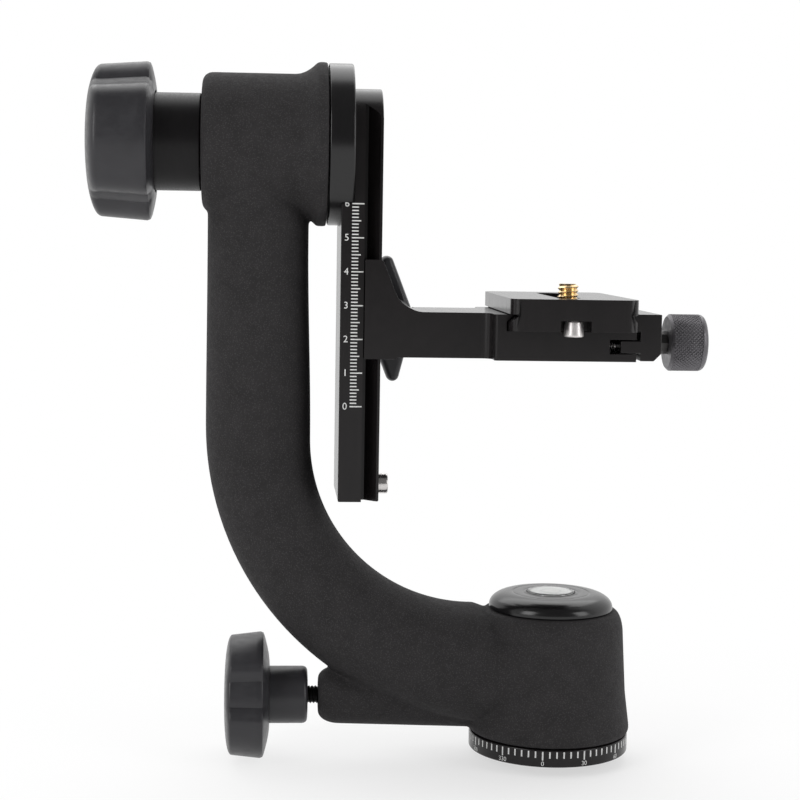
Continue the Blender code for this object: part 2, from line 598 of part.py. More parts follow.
def ring_profile(inner, outer, start, end, chamfer=0.0):
    """Closed loop of a plain ring, with broken outer edges where a chamfer is given."""
    if chamfer == 0.0:
        return [(inner, start), (outer, start), (outer, end), (inner, end)]
    return [
        (inner, start),
        (outer - chamfer, start),
        (outer, start + chamfer),
        (outer, end - chamfer),
        (outer - chamfer, end),
        (inner, end),
    ]


def rod_profile(radius, start, end):
    return [(0, start), (radius, start), (radius, end), (0, end)]


def extruded(outline, axis, start, end):
    """Prism of an outline given in the plane square to the axis."""
    side, up, along = AXES[axis]
    shape = bmesh.new()
    near = [shape.verts.new(side * a + up * b + along * start) for a, b in outline]
    far = [shape.verts.new(side * a + up * b + along * end) for a, b in outline]
    shape.faces.new(near)
    shape.faces.new(list(reversed(far)))
    for index in range(len(outline)):
        following = (index + 1) % len(outline)
        shape.faces.new((near[index], near[following], far[following], far[index]))
    return shape


def lofted(sections):
    """Solid through rings of as many points each, with flat ends."""
    shape = bmesh.new()
    rings = [[shape.verts.new(point) for point in section] for section in sections]
    shape.faces.new(rings[0])
    shape.faces.new(list(reversed(rings[-1])))
    for first, second in zip(rings, rings[1:]):
        for index in range(len(first)):
            following = (index + 1) % len(first)
            shape.faces.new((first[index], first[following], second[following], second[index]))
    return shape


def slot_outline(half_width, half_length, steps):
    """Long hole along the second direction with round ends."""
    reach = half_length - half_width
    points = arc((0, reach), half_width, 0, math.pi, steps)
    return points + arc((0, -reach), half_width, math.pi, TURN, steps)


def rounded_rectangle(half_a, half_b, radius, steps):
    points = []
    quarter = math.pi / 2
    corners = ((1, 1), (-1, 1), (-1, -1), (1, -1))
    for index, (sign_a, sign_b) in enumerate(corners):
        centre = (sign_a * (half_a - radius), sign_b * (half_b - radius))
        points += arc(centre, radius, index * quarter, (index + 1) * quarter, steps)
    return points


def lobed(depth, phase):
    """Outline of a knob: a circle with a shallow valley between lobes."""
    pitch = TURN / KNOB_LOBES

    def reach(radius, angle):
        offset = (angle / pitch + phase + 0.5) % 1.0 - 0.5
        share = abs(offset) * pitch / KNOB_VALLEY_HALF_ANGLE
        if share >= 1.0:
            return radius
        return radius - depth * (1.0 - share * share)

    return reach


def bearing_profile(inner, outer, start, end):
    """A ring bearing with a shallow groove between its races on the upper side."""
    middle = (inner + outer) / 2
    first = middle - BEARING_GROOVE_WIDTH / 2
    second = middle + BEARING_GROOVE_WIDTH / 2
    floor = end - BEARING_GROOVE_DEPTH
    return [
        (inner, start), (outer, start), (outer, end), (second, end),
        (second, floor), (first, floor), (first, end), (inner, end),
    ]


def make_carriers():
    """Empties on the joint axes, in the order in which they carry each other."""
    base = empty_at("base_frame", (0, 0, 0))
    arm = empty_at("pan_axis", (0, 0, 0), base)
    pan_shoe = empty_at("pan_shoe_axis", (BOSS_FACE_X, 0, BOSS_AXIS_Z), arm)
    pan_knob = empty_at("pan_knob_axis", (PAN_HUB_END_X, 0, BOSS_AXIS_Z), pan_shoe)
    tilt = empty_at("tilt_axis", (TILT_FLANGE_FACE_X, 0, TILT_Z), arm)
    tilt_washer = empty_at("tilt_washer_axis", (TILT_WASHER_RIGHT_X, 0, TILT_Z), tilt)
    tilt_knob = empty_at("tilt_knob_axis", (SLEEVE_LEFT_X, 0, TILT_Z), tilt_washer)
    cradle = empty_at("cradle_slide", (BLOCK_LEFT_X, 0, CRADLE_BOTTOM_Z), tilt)
    height_jaw = empty_at("height_jaw_slide", (HEIGHT_STUD_X, BLOCK_HALF_WIDTH, HEIGHT_STUD_Z), cradle)
    height_knob = empty_at("height_knob_axis", (HEIGHT_STUD_X, BLOCK_HALF_WIDTH, HEIGHT_STUD_Z), height_jaw)
    clamp_jaw = empty_at("clamp_jaw_slide", (JAW_FACE_X, 0, CLAMP_SCREW_Z), cradle)
    clamp_knob = empty_at("clamp_knob_axis", (JAW_RIGHT_X, 0, CLAMP_SCREW_Z), clamp_jaw)
    plate = empty_at("plate_slide", (0, 0, PLATE_BOTTOM_Z), cradle)
    screw_slide = empty_at("camera_screw_slide", (0, CAMERA_SCREW_Y, PLATE_BOTTOM_Z), plate)
    screw = empty_at("camera_screw_axis", (0, CAMERA_SCREW_Y, PLATE_BOTTOM_Z), screw_slide)
    return {
        "base": base, "arm": arm, "pan_shoe": pan_shoe, "pan_knob": pan_knob, "tilt": tilt,
        "tilt_washer": tilt_washer, "tilt_knob": tilt_knob, "cradle": cradle,
        "height_jaw": height_jaw, "height_knob": height_knob, "clamp_jaw": clamp_jaw,
        "clamp_knob": clamp_knob, "plate": plate, "screw_slide": screw_slide, "screw": screw,
    }


def make_base(base):
    """Graduated ring, threaded bush, spindle with its bearings, and the nut on top."""
    centre = (0, 0, 0)
    bore = BUSH_RADIUS + GAP
    profile = ring_profile(bore, BASE_RADIUS, 0, BASE_HEIGHT, BASE_RIM_BREAK)
    piece("pan_base", turned(profile, "Z", centre, LARGE_STEPS), base, "anodised_black")

    bush_bottom = BUSH_DEPTH_SHY
    profile = [
        (BUSH_BORE_RADIUS + BUSH_LEAD_IN, bush_bottom),
        (BUSH_RADIUS, bush_bottom),
        (BUSH_RADIUS, BUSH_HEIGHT),
        (BUSH_BORE_RADIUS, BUSH_HEIGHT),
        (BUSH_BORE_RADIUS, bush_bottom + BUSH_LEAD_IN),
    ]
    piece("tripod_bush", turned(profile, "Z", centre, MEDIUM_STEPS), base, "brass")

    flange_top = HOUSING_BOTTOM + SPINDLE_FLANGE_HEIGHT
    profile = [
        (0, BUSH_HEIGHT + GAP),
        (bore, BUSH_HEIGHT + GAP),
        (bore, HOUSING_BOTTOM),
        (SPINDLE_FLANGE_RADIUS, HOUSING_BOTTOM),
        (SPINDLE_FLANGE_RADIUS, flange_top),
        (SPINDLE_RADIUS, flange_top),
        (SPINDLE_RADIUS, SPINDLE_THREAD_BOTTOM),
        (SPINDLE_THREAD_RADIUS, SPINDLE_THREAD_BOTTOM),
        (SPINDLE_THREAD_RADIUS, SPINDLE_TOP),
        (0, SPINDLE_TOP),
    ]
    piece("pan_spindle", turned(profile, "Z", centre, MEDIUM_STEPS), base, "steel")

    bearings = (("pan_bearing_lower", LOWER_BEARING_BOTTOM), ("pan_bearing_upper", UPPER_BEARING_BOTTOM))
    for name, bottom in bearings:
        profile = bearing_profile(BEARING_INNER_RADIUS, BEARING_OUTER_RADIUS, bottom, bottom + BEARING_HEIGHT)
        piece(name, turned(profile, "Z", centre, SMALL_STEPS), base, "steel")

    corner = NUT_FLATS_RADIUS / math.cos(math.pi / NUT_SIDES)
    profile = [
        (0, NUT_BOTTOM),
        (corner, NUT_BOTTOM),
        (corner, NUT_TOP - NUT_CHAMFER),
        (corner - NUT_CHAMFER, NUT_TOP),
        (0, NUT_TOP),
    ]
    nut = piece("pan_nut", turned(profile, "Z", centre, NUT_SIDES), base, "steel")
    hole = rod_profile(SPINDLE_THREAD_RADIUS + GAP, NUT_BOTTOM - OVERRUN, NUT_TOP + OVERRUN)
    cut(nut, "nut_hole", turned(hole, "Z", centre, MEDIUM_STEPS))


def arm_ring(outer, inner, half_depth):
    """Elliptical ring of the tube between a point of its outer and one of its inner side."""
    middle_x = (outer[0] + inner[0]) / 2
    middle_z = (outer[1] + inner[1]) / 2
    points = []
    for index in range(ARM_RING_STEPS):
        angle = TURN * index / ARM_RING_STEPS
        along = math.cos(angle) / 2
        x = middle_x + (inner[0] - outer[0]) * along
        z = middle_z + (inner[1] - outer[1]) * along
        points.append((x, half_depth * math.sin(angle), z))
    return points


def bend_point(end_x, centre_z, radius, share):
    """Place on an arc that comes down from the tube, by the share of the bend done."""
    angle = share * math.pi / 2
    return (end_x - radius * math.cos(angle), centre_z - radius * math.sin(angle))


def between(first, second, share):
    return (first[0] + (second[0] - first[0]) * share, first[1] + (second[1] - first[1]) * share)


def arm_tube_sections():
    """Rings from the tilt housing down the tube and round the bend to the pan housing."""
    left = (ARM_LEFT_X, ARM_STRAIGHT_TOP)
    right = (ARM_RIGHT_X, ARM_STRAIGHT_TOP)
    sections = [arm_ring((ARM_LEFT_X, ARM_TUBE_TOP), (ARM_RIGHT_X, ARM_TUBE_TOP), ARM_TUBE_RADIUS)]
    bend_left = bend_point(ARM_OUTER_END_X, ARM_OUTER_CENTRE_Z, ARM_OUTER_RADIUS, 0)
    bend_right = bend_point(ARM_INNER_END_X, ARM_INNER_CENTRE_Z, ARM_INNER_RADIUS, 0)
    for index in range(ARM_STRAIGHT_STEPS):
        share = index / ARM_STRAIGHT_STEPS
        outer = between(left, bend_left, share)
        inner = between(right, bend_right, share)
        sections.append(arm_ring(outer, inner, ARM_TUBE_RADIUS))
    for index in range(ARM_BEND_STEPS + 1):
        share = index / ARM_BEND_STEPS
        outer = bend_point(ARM_OUTER_END_X, ARM_OUTER_CENTRE_Z, ARM_OUTER_RADIUS, share)
        inner = bend_point(ARM_INNER_END_X, ARM_INNER_CENTRE_Z, ARM_INNER_RADIUS, share)
        depth = ARM_TUBE_RADIUS + (ARM_FOOT_HALF_DEPTH - ARM_TUBE_RADIUS) * share * share
        sections.append(arm_ring(outer, inner, depth))
    outer = (ARM_OUTER_END_X + ARM_ROOT_OUTER_LENGTH, ARM_OUTER_CENTRE_Z - ARM_OUTER_RADIUS)
    inner = (ARM_INNER_END_X + ARM_ROOT_INNER_LENGTH, HOUSING_TOP - ARM_ROOT_DEPTH)
    sections.append(arm_ring(outer, inner, ARM_FOOT_HALF_DEPTH))
    return sections


def pan_housing_profile():
    """Outside of the housing that turns on the base, foot to top."""
    profile = [
        (0, HOUSING_BOTTOM),
        (HOUSING_FOOT_RADIUS - EDGE_BREAK, HOUSING_BOTTOM),
        (HOUSING_FOOT_RADIUS, HOUSING_BOTTOM + HOUSING_FOOT_RISE),
        (HOUSING_WAIST_RADIUS, HOUSING_BOTTOM + HOUSING_WAIST_RISE),
    ]
    for index in range(HOUSING_SHOULDER_STEPS + 1):
        angle = math.pi / 2 * index / HOUSING_SHOULDER_STEPS
        radius = HOUSING_TOP_RADIUS + HOUSING_SHOULDER_ROUND * math.cos(angle)
        profile.append((radius, HOUSING_SHOULDER_Z + HOUSING_SHOULDER_HEIGHT * math.sin(angle)))
    profile.append((0, HOUSING_TOP))
    return profile


def tilt_housing_profile():
    """Round left corner, plain barrel, flare and flange, from left to right."""
    profile = [(0, TILT_HOUSING_LEFT_X)]
    corner = (TILT_HOUSING_RADIUS - TILT_HOUSING_ROUND, TILT_HOUSING_LEFT_X + TILT_HOUSING_ROUND)
    profile += arc(corner, TILT_HOUSING_ROUND, -math.pi / 2, 0, TILT_HOUSING_ROUND_STEPS)
    for index in range(TILT_FLARE_STEPS + 1):
        share = index / TILT_FLARE_STEPS
        radius = TILT_HOUSING_RADIUS + TILT_FLARE_RISE * share * share
        profile.append((radius, TILT_FLARE_START_X + TILT_FLARE_LENGTH * share))
    profile.append((TILT_FLANGE_RADIUS, TILT_FLANGE_FACE_X - EDGE_BREAK))
    profile.append((TILT_FLANGE_RADIUS - EDGE_BREAK, TILT_FLANGE_FACE_X))
    profile.append((0, TILT_FLANGE_FACE_X))
    return profile


def boss_profile():
    """Horizontal boss of the pan lock: rounded end, then growing towards its root."""
    profile = [(0, BOSS_FACE_X)]
    for index in range(BOSS_ROUND_STEPS + 1):
        angle = math.pi / 2 * index / BOSS_ROUND_STEPS
        radius = BOSS_NOSE_RADIUS - BOSS_ROUND * (1.0 - math.sin(angle))
        profile.append((radius, BOSS_FACE_X + BOSS_ROUND_LENGTH * (1.0 - math.cos(angle))))
    return profile + [(BOSS_ROOT_RADIUS, BOSS_END_X), (0, BOSS_END_X)]


def pan_bore_profile():
    """Hollow of the pan housing: washer recess, bearing seats, nut room and cap seat."""
    seat = BEARING_OUTER_RADIUS + GAP
    washer_top = HOUSING_BOTTOM + WASHER_HEIGHT + GAP
    lower_top = LOWER_BEARING_TOP + GAP
    upper_bottom = UPPER_BEARING_BOTTOM - GAP
    return [
        (0, HOUSING_BOTTOM - OVERRUN),
        (WASHER_OUTER_RADIUS + GAP, HOUSING_BOTTOM - OVERRUN),
        (WASHER_OUTER_RADIUS + GAP, washer_top),
        (seat, washer_top),
        (seat, lower_top),
        (PAN_BORE_RADIUS, lower_top),
        (PAN_BORE_RADIUS, upper_bottom),
        (seat, upper_bottom),
        (seat, CAP_SEAT_FLOOR),
        (CAP_SEAT_RADIUS, CAP_SEAT_FLOOR),
        (CAP_SEAT_RADIUS, HOUSING_TOP + OVERRUN),
        (0, HOUSING_TOP + OVERRUN),
    ]


def tilt_bore_profile():
    """Hollow of the tilt housing: two bearing seats and the shaft's way between them."""
    seat = TILT_BEARING_OUTER_RADIUS + GAP
    way = SHAFT_RADIUS + BEARING_GROOVE_DEPTH + GAP
    seat_depth = TILT_BEARING_LENGTH + GAP + GAP
    return [
        (0, TILT_HOUSING_LEFT_X - OVERRUN),
        (seat, TILT_HOUSING_LEFT_X - OVERRUN),
        (seat, TILT_HOUSING_LEFT_X + seat_depth),
        (way, TILT_HOUSING_LEFT_X + seat_depth),
        (way, TILT_FLANGE_FACE_X - seat_depth),
        (seat, TILT_FLANGE_FACE_X - seat_depth),
        (seat, TILT_FLANGE_FACE_X + OVERRUN),
        (0, TILT_FLANGE_FACE_X + OVERRUN),
    ]


def make_arm(arm):
    """Cast arm: tube, both housings and the pan lock's boss, bored for what they hold."""
    axis = (0, 0, 0)
    tilt_axis = (0, 0, TILT_Z)
    boss_axis = (0, 0, BOSS_AXIS_Z)
    casting = piece("swing_arm", lofted(arm_tube_sections()), arm, "cast_black")
    fuse(casting, "arm_tilt_housing", turned(tilt_housing_profile(), "X", tilt_axis, LARGE_STEPS))
    fuse(casting, "arm_boss", turned(boss_profile(), "X", boss_axis, MEDIUM_STEPS))
    fuse(casting, "arm_pan_housing", turned(pan_housing_profile(), "Z", axis, LARGE_STEPS))
    pan_bore = turned(pan_bore_profile(), "Z", axis, MEDIUM_STEPS)
    tilt_bore = turned(tilt_bore_profile(), "X", tilt_axis, MEDIUM_STEPS)
    bores = helper("arm_bores", together([pan_bore, tilt_bore]), arm)
    way = rod_profile(PAN_STUD_RADIUS + GAP, BOSS_FACE_X - OVERRUN, -SPINDLE_RADIUS)
    fuse(bores, "arm_stud_bore", turned(way, "X", boss_axis, SMALL_STEPS))
    combine(casting, bores, "DIFFERENCE")

    washer_top = HOUSING_BOTTOM + WASHER_HEIGHT
    profile = ring_profile(WASHER_INNER_RADIUS, WASHER_OUTER_RADIUS, HOUSING_BOTTOM, washer_top)
    piece("pan_friction_washer", turned(profile, "Z", axis, MEDIUM_STEPS), arm, "washer_white")


def make_level(arm):
    """Domed cap that closes the pan housing, and the bubble level let into it."""
    axis = (0, 0, 0)
    rim_top = CAP_BOTTOM + CAP_RIM_HEIGHT
    vial_floor = CAP_TOP - VIAL_DEPTH
    profile = [
        (0, CAP_BOTTOM - CAP_PLUG_DEPTH),
        (CAP_PLUG_RADIUS, CAP_BOTTOM - CAP_PLUG_DEPTH),
        (CAP_PLUG_RADIUS, CAP_BOTTOM),
        (CAP_RADIUS, CAP_BOTTOM),
    ]
    reach = CAP_RADIUS - CAP_FLAT_RADIUS
    for index in range(CAP_DOME_STEPS + 1):
        angle = math.pi / 2 * index / CAP_DOME_STEPS
        radius = CAP_FLAT_RADIUS + reach * math.cos(angle)
        profile.append((radius, rim_top + CAP_DOME_HEIGHT * math.sin(angle)))
    profile += [(VIAL_RADIUS + GAP, CAP_TOP), (VIAL_RADIUS + GAP, vial_floor), (0, vial_floor)]
    piece("level_cap", turned(profile, "Z", axis, LARGE_STEPS), arm, "gloss_black")

    vial_top = CAP_TOP + VIAL_CROWN
    profile = [
        (0, vial_floor + GAP),
        (VIAL_RADIUS, vial_floor + GAP),
        (VIAL_RADIUS, CAP_TOP),
        (VIAL_RADIUS - VIAL_CROWN, vial_top),
        (0, vial_top),
    ]
    piece("bubble_level", turned(profile, "Z", axis, MEDIUM_STEPS), arm, "acrylic")


def knob_profile(radius, face, dome, rim_length, back_dome, back_radius):
    """Domed face, tapered rim and slightly domed back of a lobed knob, left to right."""
    profile = [(0, face)]
    left_radius = radius - KNOB_RIM_TAPER
    left_edge = left_radius - KNOB_RIM_ROUND
    for index in range(1, KNOB_DOME_STEPS + 1):
        share = index / KNOB_DOME_STEPS
        profile.append((left_edge * share, face + dome * share * share))
    rim_start = face + dome + KNOB_RIM_ROUND
    rim_end = rim_start + rim_length - KNOB_RIM_ROUND - KNOB_RIM_ROUND
    profile.append((left_radius, rim_start))
    profile.append((radius, rim_end))
    profile.append((radius - KNOB_RIM_ROUND, rim_end + KNOB_RIM_ROUND))
    profile.append((back_radius, rim_end + KNOB_RIM_ROUND + back_dome))
    return profile


def rim_outline(depth, phase, plain_radius):
    """Lobes on the rim only, so that hubs and sockets stay round."""
    reach = lobed(depth, phase)

    def outline(radius, angle):
        if radius <= plain_radius:
            return radius
        return reach(radius, angle)

    return outline


def make_pan_lock(shoe, knob):
    """Brass shoe, threaded stud and star knob in line with the boss."""
    axis = (0, 0, BOSS_AXIS_Z)
    profile = rod_profile(PAN_STUD_RADIUS, PAN_STUD_END_X + GAP, PAN_SHOE_END_X)
    piece("pan_lock_shoe", turned(profile, "X", axis, SMALL_STEPS), shoe, "brass")
    profile = rod_profile(PAN_STUD_RADIUS, PAN_STUD_SOCKET_X + GAP, PAN_STUD_END_X)
    piece("pan_lock_stud", turned(profile, "X", axis, SMALL_STEPS), knob, "steel")

    profile = knob_profile(PAN_KNOB_RADIUS, PAN_KNOB_FACE_X, PAN_KNOB_DOME, PAN_KNOB_RIM_LENGTH,
                           PAN_KNOB_BACK_DOME, PAN_HUB_RADIUS)
    socket = PAN_STUD_RADIUS + GAP
    profile += [
        (PAN_HUB_RADIUS, PAN_HUB_END_X - PAN_HUB_ROUND),
        (PAN_HUB_RADIUS - PAN_HUB_ROUND, PAN_HUB_END_X),
        (socket, PAN_HUB_END_X),
        (socket, PAN_STUD_SOCKET_X),
        (0, PAN_STUD_SOCKET_X),
    ]
    outline = rim_outline(PAN_KNOB_VALLEY, PAN_KNOB_PHASE_share, PAN_HUB_RADIUS)
    piece("pan_lock_knob", turned(profile, "X", axis, KNOB_STEPS, outline), knob, "knob_plastic")


def make_tilt_fittings(arm):
    """Bearings in the tilt housing and the sleeve outside it."""
    axis = (0, 0, TILT_Z)
    inner = SHAFT_RADIUS + GAP
    left = TILT_HOUSING_LEFT_X + GAP
    right = TILT_FLANGE_FACE_X - GAP
    for name, start in (("tilt_bearing_outer", left), ("tilt_bearing_inner", right - TILT_BEARING_LENGTH)):
        profile = bearing_profile(inner, TILT_BEARING_OUTER_RADIUS, start, start + TILT_BEARING_LENGTH)
        piece(name, turned(profile, "X", axis, SMALL_STEPS), arm, "steel")
    profile = ring_profile(inner, SLEEVE_RADIUS, SLEEVE_LEFT_X, SLEEVE_RIGHT_X, EDGE_BREAK)
    piece("tilt_sleeve", turned(profile, "X", axis, LARGE_STEPS), arm, "anodised_black")


def make_tilt_lock(washer, knob):
    """Friction washer, brass insert and the large lobed knob on the shaft's thread."""
    axis = (0, 0, TILT_Z)
    profile = ring_profile(SHAFT_RADIUS + GAP, TILT_WASHER_RADIUS, TILT_WASHER_LEFT_X, TILT_WASHER_RIGHT_X)
    piece("tilt_friction_washer", turned(profile, "X", axis, MEDIUM_STEPS), washer, "washer_white")

    profile = ring_profile(SHAFT_THREAD_RADIUS + GAP, INSERT_RADIUS, INSERT_LEFT_X, INSERT_RIGHT_X)
    piece("tilt_insert", turned(profile, "X", axis, SMALL_STEPS), knob, "brass")

    profile = knob_profile(TILT_KNOB_RADIUS, TILT_KNOB_FACE_X, TILT_KNOB_DOME, TILT_KNOB_RIM_LENGTH,
                           TILT_KNOB_BACK_DOME, TILT_KNOB_HOLLOW_RADIUS)
    socket = INSERT_RADIUS + GAP
    socket_floor = INSERT_LEFT_X - GAP
    profile += [
        (TILT_KNOB_HOLLOW_RADIUS, INSERT_RIGHT_X),
        (socket, INSERT_RIGHT_X),
        (socket, socket_floor),
        (0, socket_floor),
    ]
    outline = rim_outline(TILT_KNOB_VALLEY, TILT_KNOB_PHASE_share, TILT_KNOB_HOLLOW_RADIUS)
    piece("tilt_lock_knob", turned(profile, "X", axis, KNOB_STEPS, outline), knob, "knob_plastic")


def make_tilt_head(tilt):
    """Shaft and disc that turn in the arm."""
    axis = (0, 0, TILT_Z)
    head_left = DISC_RIGHT_X - SHAFT_HEAD_LENGTH
    profile = [
        (0, SHAFT_END_X),
        (SHAFT_THREAD_RADIUS, SHAFT_END_X),
        (SHAFT_THREAD_RADIUS, TILT_WASHER_LEFT_X),
        (SHAFT_RADIUS, TILT_WASHER_LEFT_X),
        (SHAFT_RADIUS, head_left),
        (SHAFT_HEAD_RADIUS, head_left),
        (SHAFT_HEAD_RADIUS, DISC_RIGHT_X),
        (0, DISC_RIGHT_X),
    ]
    piece("tilt_shaft", turned(profile, "X", axis, MEDIUM_STEPS), tilt, "steel")

    profile = [
        (SHAFT_RADIUS + GAP, DISC_LEFT_X),
        (DISC_RADIUS - EDGE_BREAK, DISC_LEFT_X),
        (DISC_RADIUS, DISC_LEFT_X + EDGE_BREAK),
        (DISC_RADIUS, DISC_RIGHT_X - EDGE_BREAK),
        (DISC_RADIUS - EDGE_BREAK, DISC_RIGHT_X),
        (SHAFT_HEAD_RADIUS + GAP, DISC_RIGHT_X),
        (SHAFT_HEAD_RADIUS + GAP, head_left - GAP),
        (SHAFT_RADIUS + GAP, head_left - GAP),
    ]
    disc = piece("tilt_disc", turned(profile, "X", axis, LARGE_STEPS), tilt, "gloss_black")
    for index, (side, height) in enumerate(bar_screw_places(), start=1):
        hole = rod_profile(BAR_SCREW_RADIUS + GAP, DISC_RIGHT_X - BAR_SCREW_REACH, DISC_RIGHT_X + OVERRUN)
        cut(disc, f"disc_hole_{index}", turned(hole, "X", (0, side, height), SMALL_STEPS))


def bar_screw_places():
    """Sideways place and height of the four screws, on a circle round the shaft's head."""
    rise = math.sqrt(BAR_SCREW_CIRCLE ** 2 - BAR_SCREW_OFFSET ** 2)
    return [(side * BAR_SCREW_OFFSET, TILT_Z + up * rise) for up in (1, -1) for side in (-1, 1)]


def bar_outline():
    """Side of the bar: square foot and round head on the tilt axis."""
    head = arc((0, TILT_Z), BAR_HALF_WIDTH, 0, math.pi, BAR_END_STEPS)
    foot = [
        (-BAR_HALF_WIDTH, BAR_BOTTOM_Z + EDGE_BREAK),
        (-BAR_HALF_WIDTH + EDGE_BREAK, BAR_BOTTOM_Z),
        (BAR_HALF_WIDTH - EDGE_BREAK, BAR_BOTTOM_Z),
        (BAR_HALF_WIDTH, BAR_BOTTOM_Z + EDGE_BREAK),
    ]
    return head + foot


def rail_side_cut(side):
    """What is milled off one side of the bar to leave the rail, run out on a slant at the top."""
    slope = RAIL_LAND_HALF_WIDTH - RAIL_NECK_HALF_WIDTH
    land_x = BAR_RIGHT_X - RAIL_LAND
    outside = side * (BAR_HALF_WIDTH + OVERRUN)
    plan = [
        (SLAB_RIGHT_X, outside),
        (SLAB_RIGHT_X, side * RAIL_NECK_HALF_WIDTH),
        (land_x - slope, side * RAIL_NECK_HALF_WIDTH),
        (land_x, side * RAIL_LAND_HALF_WIDTH),
        (BAR_RIGHT_X + OVERRUN, side * RAIL_LAND_HALF_WIDTH),
        (BAR_RIGHT_X + OVERRUN, outside),
    ]
    slant = (RAIL_END_OUTER_Z - RAIL_END_INNER_Z) / (BAR_RIGHT_X - SLAB_RIGHT_X)
    foot = [(x, y, BAR_BOTTOM_Z - OVERRUN) for x, y in plan]
    top = [(x, y, RAIL_END_INNER_Z + slant * (x - SLAB_RIGHT_X)) for x, y in plan]
    return lofted([foot, top])


def make_bar(tilt):
    """Dovetail bar, the screws that hold it on the disc, and its stop screw."""
    bar = piece("slide_bar", extruded(bar_outline(), "X", BAR_LEFT_X, BAR_RIGHT_X), tilt, "anodised_black")
    cut(bar, "bar_near_cut", rail_side_cut(-1))
    cut(bar, "bar_far_cut", rail_side_cut(1))
    pocket = rod_profile(DISC_RADIUS + GAP, BAR_LEFT_X - OVERRUN, DISC_RIGHT_X + GAP)
    cut(bar, "bar_disc_pocket", turned(pocket, "X", (0, 0, TILT_Z), LARGE_STEPS))

    head_depth = BAR_SCREW_HEAD_LENGTH
    face = BAR_RIGHT_X
    for index, (side, height) in enumerate(bar_screw_places(), start=1):
        centre = (0, side, height)
        head = BAR_SCREW_HEAD_RADIUS
        shank = BAR_SCREW_RADIUS
        hole = [
            (0, BAR_LEFT_X - OVERRUN),
            (shank + GAP, BAR_LEFT_X - OVERRUN),
            (shank + GAP, face - head_depth - GAP),
            (head + GAP, face - GAP),
            (head + GAP, face + OVERRUN),
            (0, face + OVERRUN),
        ]
        cut(bar, f"bar_screw_hole_{index}", turned(hole, "X", centre, SMALL_STEPS))
        screw = [
            (0, DISC_RIGHT_X - BAR_SCREW_REACH + GAP),
            (shank, DISC_RIGHT_X - BAR_SCREW_REACH + GAP),
            (shank, face - head_depth - GAP),
            (head, face - GAP),
            (head, face - BAR_SCREW_HEAD_SHY),
            (SCREW_SOCKET_RADIUS, face - BAR_SCREW_HEAD_SHY),
            (SCREW_SOCKET_RADIUS, face - SCREW_SOCKET_DEPTH),
            (0, face - SCREW_SOCKET_DEPTH),
        ]
        piece(f"bar_screw_{index}", turned(screw, "X", centre, COARSE_STEPS), tilt, "steel")

    stop_axis = (0, 0, BAR_BOTTOM_Z + STOP_ABOVE_END)
    hole = rod_profile(STOP_SHANK_RADIUS + GAP, face - STOP_SHANK_LENGTH - GAP, face + OVERRUN)
    cut(bar, "bar_stop_hole", turned(hole, "X", stop_axis, COARSE_STEPS))
    seat = face + GAP
    head_end = seat + STOP_HEAD_LENGTH
    screw = [
        (0, face - STOP_SHANK_LENGTH),
        (STOP_SHANK_RADIUS, face - STOP_SHANK_LENGTH),
        (STOP_SHANK_RADIUS, seat),
        (STOP_HEAD_RADIUS, seat),
        (STOP_HEAD_RADIUS, head_end - EDGE_BREAK),
        (STOP_HEAD_RADIUS - EDGE_BREAK, head_end),
        (SCREW_SOCKET_RADIUS, head_end),
        (SCREW_SOCKET_RADIUS, head_end - SCREW_SOCKET_DEPTH),
        (0, head_end - SCREW_SOCKET_DEPTH),
    ]
    piece("bar_stop_screw", turned(screw, "X", stop_axis, SMALL_STEPS), tilt, "steel")


def block_side_outline(right_x):
    """Side of the block with its gusset, cut off at a given place to the right."""
    foot_x = BLOCK_LEFT_X + BLOCK_FOOT_LENGTH
    return [
        (BLOCK_LEFT_X, BLOCK_FOOT_Z),
        (BLOCK_LEFT_X, BLOCK_TOP_Z - EDGE_BREAK),
        (BLOCK_LEFT_X + EDGE_BREAK, BLOCK_TOP_Z),
        (BLOCK_LEFT_X + BLOCK_TOP_LENGTH, BLOCK_TOP_Z),
        (BLOCK_LEFT_X + GUSSET_KNEE_LENGTH, CRADLE_TOP_Z + GUSSET_KNEE_RISE),
        (BLOCK_LEFT_X + GUSSET_LENGTH, CRADLE_TOP_Z),
        (right_x, CRADLE_TOP_Z),
        (right_x, CRADLE_BOTTOM_Z),
        (foot_x, CRADLE_BOTTOM_Z),
        (foot_x - BLOCK_FOOT_DROP, BLOCK_FOOT_Z),
    ]


def cradle_side_outline():
    """Side of the whole cradle: block, gusset, arm and the fixed half of the clamp."""
    wall_top = PLATE_FLANGE_TOP_Z + FLANK_GAP
    lip = -PLATE_WALL_X + CRADLE_TOP_Z - wall_top
    clamp = [
        (lip, CRADLE_TOP_Z),
        (-PLATE_WALL_X, wall_top),
        (-PLATE_WALL_X, CLAMP_BED_Z),
        (CLAMP_RIGHT_X, CLAMP_BED_Z),
        (CLAMP_RIGHT_X, SLOT_TOP_Z),
        (SLOT_DEPTH_X, SLOT_TOP_Z),
        (SLOT_DEPTH_X, SLOT_BOTTOM_Z),
        (CLAMP_RIGHT_X, SLOT_BOTTOM_Z),
    ]
    block = block_side_outline(CLAMP_RIGHT_X)
    top_end = len(block) // 2 + 1
    return block[:top_end] + clamp + block[top_end + 1:]


